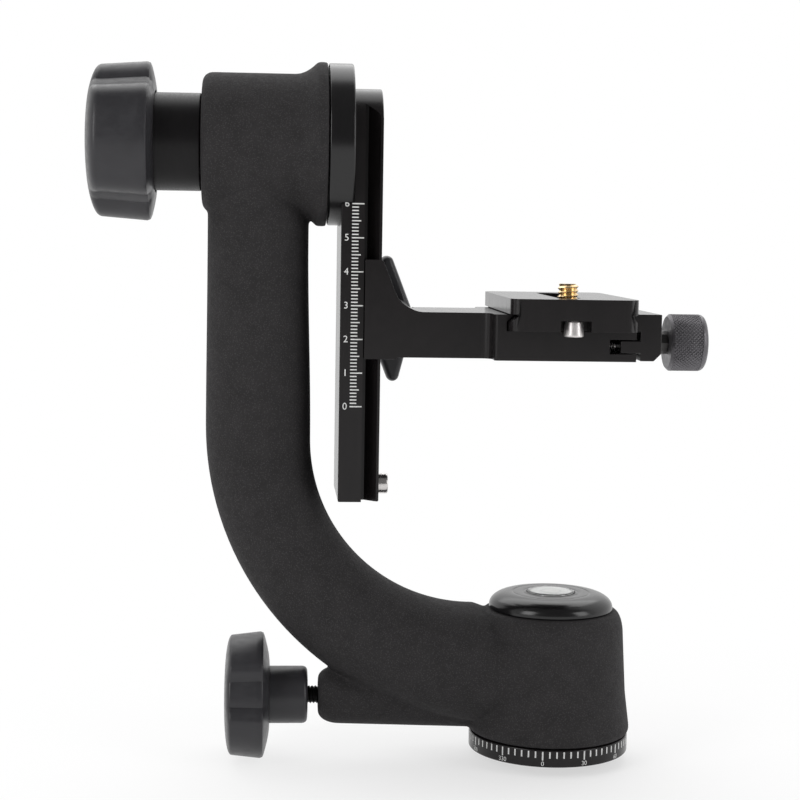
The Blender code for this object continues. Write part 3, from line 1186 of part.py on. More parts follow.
def cradle_plan_outline():
    """Plan of the cradle: narrow block and arm, wide clamp, filleted between them."""
    right = CLAMP_RIGHT_X + OVERRUN
    left = BLOCK_LEFT_X - OVERRUN
    fillet_centre = (CLAMP_LEFT_X - CLAMP_FILLET, -BLOCK_HALF_WIDTH - CLAMP_FILLET)
    round_centre = (CLAMP_LEFT_X + CLAMP_CORNER, -CLAMP_HALF_LENGTH + CLAMP_CORNER)
    near = [(left, -BLOCK_HALF_WIDTH)]
    near += arc(fillet_centre, CLAMP_FILLET, math.pi / 2, 0, CLAMP_FILLET_STEPS)
    near += arc(round_centre, CLAMP_CORNER, math.pi, math.pi * 1.5, CLAMP_CORNER_STEPS)
    near += [(right, -CLAMP_HALF_LENGTH)]
    return near + [(x, -y) for x, y in reversed(near)]


def rail_channel(side_outer):
    """Plan of the space that the rail needs between the block's jaws."""
    neck = RAIL_NECK_HALF_WIDTH + GAP
    land = RAIL_LAND_HALF_WIDTH + GAP
    slope = land - neck
    land_x = BAR_RIGHT_X - RAIL_LAND - FLANK_GAP
    near = [
        (BLOCK_LEFT_X - OVERRUN, -neck),
        (land_x - slope, -neck),
        (land_x, -land),
        (BLOCK_SEAT_X, -land),
    ]
    return near + [(BLOCK_SEAT_X, side_outer), (BLOCK_LEFT_X - OVERRUN, side_outer)]


def make_cradle(cradle):
    """One casting from the block on the bar to the fixed jaw of the camera clamp."""
    side = extruded(cradle_side_outline(), "Y", -CLAMP_HALF_LENGTH, CLAMP_HALF_LENGTH)
    casting = piece("cradle_bracket", side, cradle, "cast_black")
    low = BLOCK_FOOT_Z - OVERRUN
    high = BLOCK_TOP_Z + OVERRUN
    keep_common(casting, "cradle_plan", extruded(cradle_plan_outline(), "Z", low, high))
    cut(casting, "cradle_rail_channel", extruded(rail_channel(MOVING_JAW_SEAT_Y), "Z", low, high))
    seat = [
        (BLOCK_LEFT_X - OVERRUN, MOVING_JAW_SEAT_Y),
        (BLOCK_RIGHT_X, MOVING_JAW_SEAT_Y),
        (BLOCK_RIGHT_X, BLOCK_HALF_WIDTH + OVERRUN),
        (BLOCK_LEFT_X - OVERRUN, BLOCK_HALF_WIDTH + OVERRUN),
    ]
    cut(casting, "cradle_jaw_seat", extruded(seat, "Z", low, high))
    stud = rod_profile(HEIGHT_STUD_RADIUS + GAP, HEIGHT_STUD_END_Y - GAP, MOVING_JAW_SEAT_Y + OVERRUN)
    cut(casting, "cradle_stud_hole", turned(stud, "Y", (HEIGHT_STUD_X, 0, HEIGHT_STUD_Z), SMALL_STEPS))
    screw = rod_profile(CLAMP_SCREW_RADIUS + GAP, CLAMP_SCREW_END_X - GAP, CLAMP_RIGHT_X)
    cut(casting, "cradle_screw_hole", turned(screw, "X", (0, 0, CLAMP_SCREW_Z), COARSE_STEPS))
    for name, side_y in (("front", -PIN_Y), ("rear", PIN_Y)):
        hole = rod_profile(PIN_RADIUS + GAP, PIN_LEFT_X - GAP, SLOT_DEPTH_X + OVERRUN)
        cut(casting, f"cradle_pin_hole_{name}", turned(hole, "X", (0, side_y, CLAMP_SCREW_Z), COARSE_STEPS))


def spring_shape(side_y):
    """Open coil round a guide pin between the slot's floor and the jaw's tongue."""
    start = SLOT_DEPTH_X + GAP + SPRING_WIRE_RADIUS
    end = TONGUE_END_X - GAP - SPRING_WIRE_RADIUS
    steps = int(SPRING_TURNS * SPRING_STEPS_PER_TURN)
    along = Vector((1, 0, 0))
    middles = []
    rings = []
    for index in range(steps + 1):
        share = index / steps
        angle = TURN * SPRING_TURNS * share
        outward = Vector((0, math.cos(angle), math.sin(angle)))
        middle = Vector((start + (end - start) * share, side_y, CLAMP_SCREW_Z)) + outward * SPRING_RADIUS
        middles.append(middle)
        ring = []
        for corner in range(SPRING_WIRE_STEPS):
            turn = TURN * corner / SPRING_WIRE_STEPS
            ring.append(middle + (outward * math.cos(turn) + along * math.sin(turn)) * SPRING_WIRE_RADIUS)
        rings.append(ring)
    print("least gap of the spring to itself, mm:", round(coil_gap(middles) / MM, 3))
    return lofted(rings)


def coil_gap(middles):
    """Least air between the spring's turns, from the wire's middle points half a turn or more apart."""
    apart = SPRING_STEPS_PER_TURN // 2
    nearest = min(
        (first - second).length
        for index, first in enumerate(middles)
        for second in middles[index + apart:]
    )
    return nearest - SPRING_WIRE_RADIUS - SPRING_WIRE_RADIUS


def make_clamp_pins(cradle):
    for name, side_y in (("front", -PIN_Y), ("rear", PIN_Y)):
        axis = (0, side_y, CLAMP_SCREW_Z)
        profile = rod_profile(PIN_RADIUS, PIN_LEFT_X, PIN_RIGHT_X)
        piece(f"clamp_pin_{name}", turned(profile, "X", axis, COARSE_STEPS), cradle, "steel")
        piece(f"clamp_spring_{name}", spring_shape(side_y), cradle, "steel")


def wing_outline():
    """Both wings: straight flanks run from the round root to the small rounds of the tips."""
    reach = WING_HALF_LENGTH - WING_TIP_RADIUS
    taper = math.asin((WING_ROOT_RADIUS - WING_TIP_RADIUS) / reach)
    upright = arc((0, reach), WING_TIP_RADIUS, taper, math.pi - taper, WING_TIP_STEPS)
    upright += arc((0, 0), WING_ROOT_RADIUS, math.pi - taper, math.pi + taper, WING_ROOT_STEPS)
    upright += arc((0, -reach), WING_TIP_RADIUS, math.pi + taper, TURN - taper, WING_TIP_STEPS)
    upright += arc((0, 0), WING_ROOT_RADIUS, -taper, taper, WING_ROOT_STEPS)
    leaning = []
    for across, along in upright:
        x = HEIGHT_STUD_X + across * math.cos(WING_LEAN) - along * math.sin(WING_LEAN)
        z = HEIGHT_STUD_Z + across * math.sin(WING_LEAN) + along * math.cos(WING_LEAN)
        leaning.append((x, z))
    return leaning


def make_height_lock(jaw_carrier, knob_carrier):
    """Moving jaw on the far side of the rail, with its stud and winged knob."""
    outline = block_side_outline(BLOCK_RIGHT_X - GAP)
    near = MOVING_JAW_SEAT_Y + GAP
    jaw = piece("height_clamp_jaw", extruded(outline, "Y", near, BLOCK_HALF_WIDTH), jaw_carrier, "cast_black")
    low = BLOCK_FOOT_Z - OVERRUN
    high = BLOCK_TOP_Z + OVERRUN
    channel = [(x, -y) for x, y in rail_channel(MOVING_JAW_SEAT_Y)]
    cut(jaw, "height_jaw_rail_channel", extruded(channel, "Z", low, high))
    axis = (HEIGHT_STUD_X, 0, HEIGHT_STUD_Z)
    hole = rod_profile(HEIGHT_STUD_RADIUS + GAP, 0, BLOCK_HALF_WIDTH + OVERRUN)
    cut(jaw, "height_jaw_stud_hole", turned(hole, "Y", axis, SMALL_STEPS))

    hub_start = BLOCK_HALF_WIDTH + GAP
    socket_end = WING_HUB_END_Y + WING_SOCKET_DEPTH
    stud = rod_profile(HEIGHT_STUD_RADIUS, HEIGHT_STUD_END_Y, socket_end - GAP)
    piece("height_lock_stud", turned(stud, "Y", axis, SMALL_STEPS), knob_carrier, "steel")

    wing_end = WING_HUB_END_Y + WING_THICKNESS
    wings = extruded(wing_outline(), "Y", WING_HUB_END_Y, wing_end)
    knob = piece("height_lock_knob", wings, knob_carrier, "knob_plastic")
    hub = [
        (0, hub_start),
        (WING_HUB_WAIST_RADIUS, hub_start),
        (WING_HUB_RADIUS, WING_HUB_END_Y),
        (WING_HUB_RADIUS, wing_end),
        (WING_HUB_WAIST_RADIUS, wing_end + EDGE_BREAK),
        (0, wing_end + EDGE_BREAK),
    ]
    fuse(knob, "wing_hub", turned(hub, "Y", axis, MEDIUM_STEPS))
    socket = rod_profile(HEIGHT_STUD_RADIUS + GAP, hub_start - OVERRUN, socket_end)
    cut(knob, "wing_socket", turned(socket, "Y", axis, SMALL_STEPS))


def jaw_side_outline():
    """Side of the moving jaw: lip over the plate, tongue in the slot, chamfered foot."""
    wall_top = PLATE_FLANGE_TOP_Z + FLANK_GAP
    lip = PLATE_WALL_X - CRADLE_TOP_Z + wall_top
    return [
        (lip, CRADLE_TOP_Z),
        (PLATE_WALL_X, wall_top),
        (PLATE_WALL_X, CLAMP_BED_Z + GAP),
        (JAW_FACE_X, CLAMP_BED_Z + GAP),
        (JAW_FACE_X, SLOT_TOP_Z - GAP),
        (TONGUE_END_X, SLOT_TOP_Z - GAP),
        (TONGUE_END_X, SLOT_BOTTOM_Z + GAP),
        (JAW_FACE_X, SLOT_BOTTOM_Z + GAP),
        (JAW_FACE_X, JAW_BOTTOM_Z),
        (JAW_RIGHT_X - JAW_CHAMFER, JAW_BOTTOM_Z),
        (JAW_RIGHT_X, JAW_BOTTOM_Z + JAW_CHAMFER),
        (JAW_RIGHT_X, JAW_TOP_Z),
        (CLAMP_RIGHT_X + GAP, JAW_TOP_Z),
        (CLAMP_RIGHT_X, CRADLE_TOP_Z),
    ]


def make_clamp(jaw_carrier, knob_carrier):
    """Moving jaw, its screw with the neck, and the knurled knob."""
    jaw = extruded(jaw_side_outline(), "Y", -CLAMP_HALF_LENGTH, CLAMP_HALF_LENGTH)
    jaw = piece("clamp_jaw", jaw, jaw_carrier, "cast_black")
    axis = (0, 0, CLAMP_SCREW_Z)
    hole = rod_profile(CLAMP_SCREW_RADIUS + GAP, TONGUE_END_X - OVERRUN, JAW_RIGHT_X + OVERRUN)
    cut(jaw, "jaw_screw_hole", turned(hole, "X", axis, COARSE_STEPS))
    for name, side_y in (("front", -PIN_Y), ("rear", PIN_Y)):
        hole = rod_profile(PIN_RADIUS + GAP, TONGUE_END_X - OVERRUN, PIN_HOLE_END_X)
        cut(jaw, f"jaw_pin_hole_{name}", turned(hole, "X", (0, side_y, CLAMP_SCREW_Z), COARSE_STEPS))

    neck_start = JAW_RIGHT_X + GAP
    spigot_end = CLAMP_NECK_END_X + CLAMP_SPIGOT_LENGTH
    profile = [
        (0, CLAMP_SCREW_END_X),
        (CLAMP_SCREW_RADIUS, CLAMP_SCREW_END_X),
        (CLAMP_SCREW_RADIUS, neck_start),
        (CLAMP_NECK_RADIUS, neck_start),
        (CLAMP_NECK_RADIUS, CLAMP_NECK_END_X),
        (CLAMP_SPIGOT_RADIUS, CLAMP_NECK_END_X),
        (CLAMP_SPIGOT_RADIUS, spigot_end),
        (0, spigot_end),
    ]
    piece("clamp_screw", turned(profile, "X", axis, SMALL_STEPS), knob_carrier, "steel")

    profile = [
        (CLAMP_SPIGOT_RADIUS + GAP, CLAMP_KNOB_LEFT_X),
        (CLAMP_KNOB_RADIUS - CLAMP_KNOB_BEVEL, CLAMP_KNOB_LEFT_X),
        (CLAMP_KNOB_RADIUS, CLAMP_KNOB_LEFT_X + CLAMP_KNOB_BEVEL),
    ]
    dome_start = CLAMP_KNOB_RIGHT_X - CLAMP_KNOB_DOME
    for index in range(CLAMP_KNOB_DOME_STEPS + 1):
        angle = math.pi / 2 * index / CLAMP_KNOB_DOME_STEPS
        radius = CLAMP_KNOB_RADIUS - CLAMP_KNOB_DOME + CLAMP_KNOB_DOME * math.cos(angle)
        profile.append((radius, dome_start + CLAMP_KNOB_DOME * math.sin(angle)))
    socket_floor = spigot_end + GAP
    profile = [(0, socket_floor), (CLAMP_SPIGOT_RADIUS + GAP, socket_floor)] + profile
    profile.append((0, CLAMP_KNOB_RIGHT_X))
    piece("clamp_knob", turned(profile, "X", axis, LARGE_STEPS), knob_carrier, "knurled_grey")


def plate_side_outline():
    """End view of the plate: top block, ledge, slanted waist and flange."""
    waist = PLATE_HALF_WIDTH - PLATE_DOVETAIL_HEIGHT
    right = [
        (PLATE_HALF_WIDTH - EDGE_BREAK, PLATE_BOTTOM_Z),
        (PLATE_HALF_WIDTH, PLATE_BOTTOM_Z + EDGE_BREAK),
        (PLATE_HALF_WIDTH, PLATE_FLANGE_TOP_Z),
        (waist, PLATE_LEDGE_Z),
        (PLATE_HALF_WIDTH, PLATE_LEDGE_Z),
        (PLATE_HALF_WIDTH, PLATE_TOP_Z - EDGE_BREAK),
        (PLATE_HALF_WIDTH - EDGE_BREAK, PLATE_TOP_Z),
    ]
    return right + [(-x, z) for x, z in reversed(right)]


def make_plate(plate):
    """Dovetail plate with its slot, head channel and end notches, and its stop screws."""
    shape = extruded(plate_side_outline(), "Y", -PLATE_HALF_LENGTH, PLATE_HALF_LENGTH)
    body = piece("camera_plate", shape, plate, "anodised_black")
    low = PLATE_BOTTOM_Z - OVERRUN
    high = PLATE_TOP_Z + OVERRUN
    plan = rounded_rectangle(PLATE_HALF_WIDTH, PLATE_HALF_LENGTH, PLATE_CORNER_ROUND, PLATE_CORNER_STEPS)
    keep_common(body, "plate_plan", extruded(plan, "Z", low, high))
    slot = slot_outline(CAMERA_SLOT_HALF_WIDTH, CAMERA_SLOT_HALF_LENGTH, SLOT_END_STEPS)
    cut(body, "plate_slot", extruded(slot, "Z", low, high))
    reach = CAMERA_SLOT_HALF_LENGTH + HEAD_CHANNEL_STEP
    channel = slot_outline(HEAD_CHANNEL_HALF_WIDTH, reach, SLOT_END_STEPS)
    cut(body, "plate_head_channel", extruded(channel, "Z", low, PLATE_BOTTOM_Z + HEAD_CHANNEL_HEIGHT))
    notch_inner = PLATE_STOP_Y - PLATE_STOP_RADIUS - GAP
    head_low = PLATE_BOTTOM_Z - PLATE_STOP_BELOW
    neck_z = head_low + PLATE_STOP_HEAD_HEIGHT
    shank_top = neck_z + PLATE_STOP_SHANK_LENGTH
    for name, side in (("front", -1), ("rear", 1)):
        notch = [
            (-NOTCH_HALF_WIDTH, side * notch_inner),
            (NOTCH_HALF_WIDTH, side * notch_inner),
            (NOTCH_HALF_WIDTH, side * (PLATE_HALF_LENGTH + OVERRUN)),
            (-NOTCH_HALF_WIDTH, side * (PLATE_HALF_LENGTH + OVERRUN)),
        ]
        cut(body, f"plate_notch_{name}", extruded(notch, "Z", low, PLATE_BOTTOM_Z + NOTCH_HEIGHT))
        axis = (0, side * PLATE_STOP_Y, 0)
        hole = rod_profile(PLATE_STOP_SHANK_RADIUS + GAP, low, shank_top + GAP)
        cut(body, f"plate_stop_hole_{name}", turned(hole, "Z", axis, COARSE_STEPS))
        profile = [
            (0, head_low),
            (PLATE_STOP_RADIUS - EDGE_BREAK, head_low),
            (PLATE_STOP_RADIUS, head_low + EDGE_BREAK),
            (PLATE_STOP_NECK_RADIUS, neck_z),
            (PLATE_STOP_SHANK_RADIUS, neck_z),
            (PLATE_STOP_SHANK_RADIUS, shank_top),
            (0, shank_top),
        ]
        piece(f"plate_stop_{name}", turned(profile, "Z", axis, SMALL_STEPS), plate, "steel")


def make_camera_screw(washer_carrier, screw_carrier):
    """Captive camera screw with its washer under the plate's slot."""
    axis = (0, CAMERA_SCREW_Y, 0)
    head_low = PLATE_BOTTOM_Z + GAP
    head_top = head_low + CAMERA_SCREW_HEAD_HEIGHT
    washer_low = head_top + GAP
    profile = ring_profile(CAMERA_SCREW_RADIUS + GAP, CAMERA_SCREW_HEAD_RADIUS, washer_low,
                           washer_low + CAMERA_WASHER_HEIGHT)
    piece("camera_screw_washer", turned(profile, "Z", axis, SMALL_STEPS), washer_carrier, "steel")
    profile = [
        (0, head_low),
        (CAMERA_SCREW_HEAD_RADIUS, head_low),
        (CAMERA_SCREW_HEAD_RADIUS, head_top),
        (CAMERA_SCREW_RADIUS, head_top),
        (CAMERA_SCREW_RADIUS, CAMERA_SCREW_TOP_Z - EDGE_BREAK),
        (CAMERA_SCREW_RADIUS - EDGE_BREAK, CAMERA_SCREW_TOP_Z),
        (0, CAMERA_SCREW_TOP_Z),
    ]
    screw = piece("camera_screw", turned(profile, "Z", axis, SMALL_STEPS), screw_carrier, "brass")
    half = COIN_SLOT_WIDTH / 2
    reach = CAMERA_SCREW_HEAD_RADIUS + OVERRUN
    coin = [
        (-reach, CAMERA_SCREW_Y - half),
        (reach, CAMERA_SCREW_Y - half),
        (reach, CAMERA_SCREW_Y + half),
        (-reach, CAMERA_SCREW_Y + half),
    ]
    cut(screw, "screw_coin_slot", extruded(coin, "Z", head_low - OVERRUN, head_low + COIN_SLOT_DEPTH))


def build():
    clear_scene()
    carriers = make_carriers()
    make_base(carriers["base"])
    make_arm(carriers["arm"])
    make_level(carriers["arm"])
    make_pan_lock(carriers["pan_shoe"], carriers["pan_knob"])
    make_tilt_fittings(carriers["arm"])
    make_tilt_lock(carriers["tilt_washer"], carriers["tilt_knob"])
    make_tilt_head(carriers["tilt"])
    make_bar(carriers["tilt"])
    make_cradle(carriers["cradle"])
    make_clamp_pins(carriers["cradle"])
    make_height_lock(carriers["height_jaw"], carriers["height_knob"])
    make_clamp(carriers["clamp_jaw"], carriers["clamp_knob"])
    make_plate(carriers["plate"])
    make_camera_screw(carriers["screw_slide"], carriers["screw"])


build()
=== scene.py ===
"""Looks of the side-arm gimbal head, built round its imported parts."""
from math import asin, cos, pi, radians, sin, sqrt

import bmesh
import bpy
from mathutils import Matrix, Vector


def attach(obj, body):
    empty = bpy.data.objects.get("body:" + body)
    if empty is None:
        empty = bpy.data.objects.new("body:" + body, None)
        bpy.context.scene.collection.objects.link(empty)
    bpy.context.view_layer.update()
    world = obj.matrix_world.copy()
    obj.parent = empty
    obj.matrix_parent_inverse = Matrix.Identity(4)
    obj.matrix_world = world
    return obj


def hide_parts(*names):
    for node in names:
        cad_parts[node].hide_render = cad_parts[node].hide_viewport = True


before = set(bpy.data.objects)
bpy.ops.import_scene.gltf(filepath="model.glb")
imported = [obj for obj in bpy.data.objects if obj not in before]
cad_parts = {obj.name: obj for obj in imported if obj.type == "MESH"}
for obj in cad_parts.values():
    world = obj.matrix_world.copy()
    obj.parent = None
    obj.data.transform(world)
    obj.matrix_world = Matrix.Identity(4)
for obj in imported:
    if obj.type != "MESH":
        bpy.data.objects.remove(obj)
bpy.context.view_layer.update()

MM = 0.001
TURN = 2.0 * pi
GAP = 0.3 * MM
OVERRUN = 1.0 * MM
PRINT_LIFT = 0.02 * MM
TOLERANCE = 0.01 * MM
WELD = 0.002 * MM
EDGE_FINE = 0.2 * MM
EDGE_SMALL = 0.3 * MM
EDGE_SOFT = 0.4 * MM
EDGE_BREAK = 0.5 * MM
EDGE_FULL = 0.6 * MM
CASTING_EDGE = 0.35 * MM
JAW_EDGE = 0.25 * MM

# How finely shapes are drawn
FINE_STEPS = 160
MID_STEPS = 80
SMALL_STEPS = 48
KNOB_STEPS = 180
CORNER_STEPS = 5
ROUND_STEPS = 8
FILLET_STEPS = 10
DOME_STEPS = 16
SLOT_STEPS = 20
FACE_STEPS = 24
RIM_STEPS = 6
WIRE_STEPS = 10
COIL_STEPS = 36
THREAD_ROWS = 12
SHARP_ANGLE = radians(32.0)
BEVEL_ANGLE = radians(28.0)
BEVEL_SEGMENTS = 3
FLAT_ANGLE = radians(0.5)
VOXEL = 0.45 * MM
BLEND_PASSES = 14
BLEND_FACTOR = 0.5

# Sizes: the main outlines follow the parts, edges and small detail are the scene's own
BASE_RADIUS = 25.0 * MM
BASE_HEIGHT = 5.4 * MM
BUSH_RADIUS = 6.8 * MM
BUSH_BORE_RADIUS = 4.1 * MM
BUSH_HEIGHT = 13.0 * MM
BUSH_LIFT = 0.2 * MM
BUSH_LEAD = 0.8 * MM
BUSH_PITCH = 1.59 * MM
BUSH_THREAD = 0.55 * MM
BUSH_ROWS = 8
HOUSING_BOTTOM = BASE_HEIGHT + GAP
HOUSING_FOOT_RADIUS = 25.5 * MM
HOUSING_FOOT_HEIGHT = 7.2 * MM
HOUSING_WAIST_RADIUS = 24.0 * MM
HOUSING_WAIST_HEIGHT = 18.5 * MM
HOUSING_SHOULDER_RADIUS = 22.9 * MM
HOUSING_SHOULDER_HEIGHT = 36.5 * MM
HOUSING_TOP = 44.2 * MM
HOUSING_TOP_RADIUS = 19.8 * MM
SPINDLE_RADIUS = 8.3 * MM
BEARING_RADIUS = 13.0 * MM
WASHER_RADIUS = 21.0 * MM
WASHER_HEIGHT = 1.0 * MM
LOWER_BEARING_TOP = 12.6 * MM
UPPER_BEARING_BOTTOM = 27.3 * MM
PAN_BORE_RADIUS = 10.5 * MM
CAP_SEAT_RADIUS = 18.0 * MM
CAP_SEAT_FLOOR = 40.6 * MM
CAP_BOTTOM = HOUSING_TOP + GAP
CAP_RADIUS = 19.4 * MM
CAP_RIM_HEIGHT = 0.7 * MM
CAP_DOME_HEIGHT = 4.2 * MM
CAP_FLAT_RADIUS = 12.6 * MM
CAP_GROOVE_WIDTH = 0.5 * MM
CAP_GROOVE_DEPTH = 0.12 * MM
CAP_EDGE = 0.15 * MM
CAP_TOP = CAP_BOTTOM + CAP_RIM_HEIGHT + CAP_DOME_HEIGHT
CAP_PLUG_DEPTH = 3.0 * MM
VIAL_RADIUS = 7.4 * MM
VIAL_DEPTH = 4.6 * MM
VIAL_CROWN = 0.5 * MM
VIAL_WALL = 0.9 * MM
VIAL_ROOF = 1.1 * MM
LIQUID_GAP = 0.03 * MM
LIQUID_SINK = 0.05 * MM
CIRCLE_INNER_RADIUS = 2.9 * MM
CIRCLE_OUTER_RADIUS = 3.2 * MM
CIRCLE_SINK = 0.02 * MM
CIRCLE_EDGE = 0.005 * MM
BUBBLE_RADIUS = 2.3 * MM
BUBBLE_PLACE = (0.5 * MM, 0.3 * MM, 0)
BUBBLE_RIM_SINK = 0.045 * MM
BUBBLE_TOP_SINK = 0.026 * MM
BUBBLE_RISE_share = 0.008

ARM_OUTER_CENTRE = (-14.7 * MM, 101.7 * MM)
ARM_OUTER_RADIUS = 93.8 * MM
ARM_INNER_CENTRE = (-24.5 * MM, 97.5 * MM)
ARM_INNER_RADIUS = 51.8 * MM
ARM_TUBE_X = -92.9 * MM
ARM_TUBE_HALF_WIDTH = 15.4 * MM
ARM_FOOT_HALF_DEPTH = 20.0 * MM
ARM_TUBE_TOP = 196.5 * MM
ARM_STRAIGHT_TOP = 158.0 * MM
ARM_STRAIGHT_STEPS = 12
ARM_BEND_STEPS = 40
ARM_END_OUTER_X = -6.3 * MM
ARM_END_INNER = (-16.3 * MM, 42.6 * MM)
BOSS_NOSE_RADIUS = 9.0 * MM
BOSS_ROOT_RADIUS = 10.3 * MM
BOSS_FACE_X = -73.0 * MM
BOSS_END_X = -20.0 * MM
BOSS_AXIS_Z = 16.6 * MM
BOSS_AXIS = (0, 0, BOSS_AXIS_Z)
BOSS_ROUND = 3.8 * MM
BOSS_ROUND_LENGTH = 6.5 * MM

PAN_STUD_RADIUS = 2.8 * MM
PAN_STUD_END_X = -18.0 * MM
PAN_KNOB_RADIUS = 19.6 * MM
PAN_KNOB_FACE_X = -102.2 * MM
PAN_KNOB_DOME = 2.0 * MM
PAN_KNOB_RIM_LENGTH = 10.4 * MM
PAN_KNOB_BACK_DOME = 1.7 * MM
PAN_KNOB_VALLEY = 3.0 * MM
PAN_KNOB_FLOOR_HALF_ANGLE = radians(14.0)
PAN_KNOB_PHASE_share = 0.5 + 14.0 / 120.0
PAN_HUB_RADIUS = 8.9 * MM
PAN_HUB_END_X = -76.3 * MM
PAN_HUB_ROUND = 1.8 * MM
PAN_HUB_SINK_WIDTH = 1.2 * MM
PAN_HUB_SINK_DEPTH = 0.8 * MM
PAN_STUD_PITCH = 1.0 * MM
PAN_STUD_THREAD = 0.45 * MM
PAN_STUD_SOCKET_X = -96.0 * MM

TILT_Z = 187.6 * MM
TILT_AXIS = (0, 0, TILT_Z)
TILT_HOUSING_RADIUS = 21.1 * MM
TILT_HOUSING_LEFT_X = -110.0 * MM
TILT_HOUSING_ROUND = 3.0 * MM
TILT_FLARE_START_X = -82.0 * MM
TILT_FLANGE_RADIUS = 24.8 * MM
TILT_FLANGE_START_X = -75.2 * MM
TILT_FLANGE_FACE_X = -72.3 * MM
SHAFT_RADIUS = 6.0 * MM
SHAFT_HEAD_RADIUS = 9.0 * MM
SHAFT_HEAD_LENGTH = 2.5 * MM
SHAFT_CLEARANCE = 1.1 * MM
TILT_BEARING_RADIUS = 11.0 * MM
TILT_BEARING_LENGTH = 4.6 * MM
SLEEVE_RADIUS = 14.75 * MM
SLEEVE_LEFT_X = -124.6 * MM
TILT_KNOB_RADIUS = 23.9 * MM
TILT_KNOB_FACE_X = -144.7 * MM
TILT_KNOB_DOME = 4.4 * MM
TILT_KNOB_RIM_LENGTH = 15.0 * MM
TILT_KNOB_BACK_DOME = 1.2 * MM
TILT_KNOB_VALLEY = 3.4 * MM
TILT_KNOB_FLOOR_HALF_ANGLE = radians(6.0)
TILT_KNOB_PHASE_share = 0.0
TILT_KNOB_HOLLOW_RADIUS = 15.4 * MM
TILT_WASHER_LENGTH = 1.0 * MM
INSERT_RADIUS = 7.0 * MM
INSERT_LENGTH = 11.0 * MM
KNOB_LOBES = 3
KNOB_VALLEY_HALF_ANGLE = radians(30.0)
KNOB_RIM_TAPER = 1.0 * MM
KNOB_EDGE = 1.2 * MM
KNOB_EDGE_share = 0.5
KNOB_EDGE_BREAK_share = 0.3
KNOB_FACE_POWER = 2.5
DISC_RADIUS = 24.5 * MM
DISC_THICKNESS = 7.5 * MM
DISC_EDGE = 0.7 * MM
DISC_LEFT_X = TILT_FLANGE_FACE_X + GAP
DISC_RIGHT_X = DISC_LEFT_X + DISC_THICKNESS

BAR_LEFT_X = -68.2 * MM
BAR_THICKNESS = 12.4 * MM
BAR_RIGHT_X = BAR_LEFT_X + BAR_THICKNESS
SLAB_THICKNESS = 7.0 * MM
SLAB_RIGHT_X = BAR_LEFT_X + SLAB_THICKNESS
BAR_HALF_WIDTH = 17.0 * MM
BAR_BOTTOM_Z = 80.0 * MM
RAIL_NECK_HALF_WIDTH = 11.5 * MM
RAIL_LAND_HALF_WIDTH = 15.0 * MM
RAIL_LAND = 0.8 * MM
RAIL_END_INNER_Z = 199.5 * MM
RAIL_END_OUTER_Z = 195.6 * MM
BAR_SCREW_CIRCLE = 12.4 * MM
BAR_SCREW_OFFSET = 6.0 * MM
BAR_SCREW_HEAD_RADIUS = 3.2 * MM
BAR_SCREW_HEAD_LENGTH = 2.2 * MM
BAR_SCREW_RADIUS = 2.0 * MM
BAR_SCREW_REACH = 3.6 * MM
STOP_HEAD_RADIUS = 3.15 * MM
STOP_HEAD_LENGTH = 3.4 * MM
STOP_SHANK_RADIUS = 1.6 * MM
STOP_SHANK_LENGTH = 6.0 * MM
STOP_ABOVE_END = 3.5 * MM
HEX_SOCKET_RADIUS = 1.35 * MM
HEX_SOCKET_DEPTH = 1.3 * MM
HEX_SIDES = 6

BLOCK_LEFT_X = SLAB_RIGHT_X + GAP
BLOCK_SEAT_X = BAR_RIGHT_X + GAP
BLOCK_THICKNESS = 11.5 * MM
BLOCK_RIGHT_X = BLOCK_SEAT_X + BLOCK_THICKNESS
BLOCK_HALF_WIDTH = 18.0 * MM
BLOCK_TOP_Z = 153.1 * MM
BLOCK_FOOT_Z = 123.4 * MM
BLOCK_FOOT_LENGTH = 10.0 * MM
BLOCK_TOP_ROUND = 1.2 * MM
GUSSET_TOP_X = -55.6 * MM
GUSSET_KNEE = (-50.6 * MM, 140.6 * MM)
GUSSET_KNEE_ROUND = 3.0 * MM
GUSSET_FOOT_X = -45.0 * MM
GUSSET_FOOT_ROUND = 2.0 * MM
CRADLE_ARM_TOP_Z = 137.7 * MM
CRADLE_ARM_BOTTOM_Z = 124.0 * MM
CLAMP_HALF_LENGTH = 27.0 * MM
CLAMP_LEFT_X = -22.8 * MM
CLAMP_CORNER = 1.2 * MM
CLAMP_FILLET = 3.1 * MM
CLAMP_BED_Z = 132.8 * MM
CLAMP_RIGHT_X = 19.6 * MM
SLOT_BOTTOM_Z = 126.3 * MM
SLOT_TOP_Z = 130.6 * MM
SLOT_DEPTH_X = 11.6 * MM
MOVING_JAW_SEAT_Y = 9.7 * MM
HEIGHT_STUD_X = -50.4 * MM
HEIGHT_STUD_Z = 133.5 * MM
HEIGHT_STUD_AXIS = (HEIGHT_STUD_X, 0, HEIGHT_STUD_Z)
HEIGHT_STUD_RADIUS = 3.0 * MM
HEIGHT_STUD_END_Y = -11.0 * MM
WING_HUB_RADIUS = 7.2 * MM
WING_HUB_WAIST_RADIUS = 6.0 * MM
WING_HUB_END_Y = 25.0 * MM
WING_HUB_ROUND = 1.5 * MM
WING_HUB_END_ROUND = 1.0 * MM
WING_THICKNESS = 8.0 * MM
WING_HALF_LENGTH = 20.3 * MM
WING_ROOT_RADIUS = 7.7 * MM
WING_TIP_RADIUS = 2.1 * MM
WING_LEAN = radians(3.5)
WING_ROUND = 1.6 * MM
WING_FLAT_share = 0.35
WING_TIP_STEPS = 12
WING_ROOT_STEPS = 6
WING_LAYERS = 7
WING_SOCKET_DEPTH = 5.0 * MM

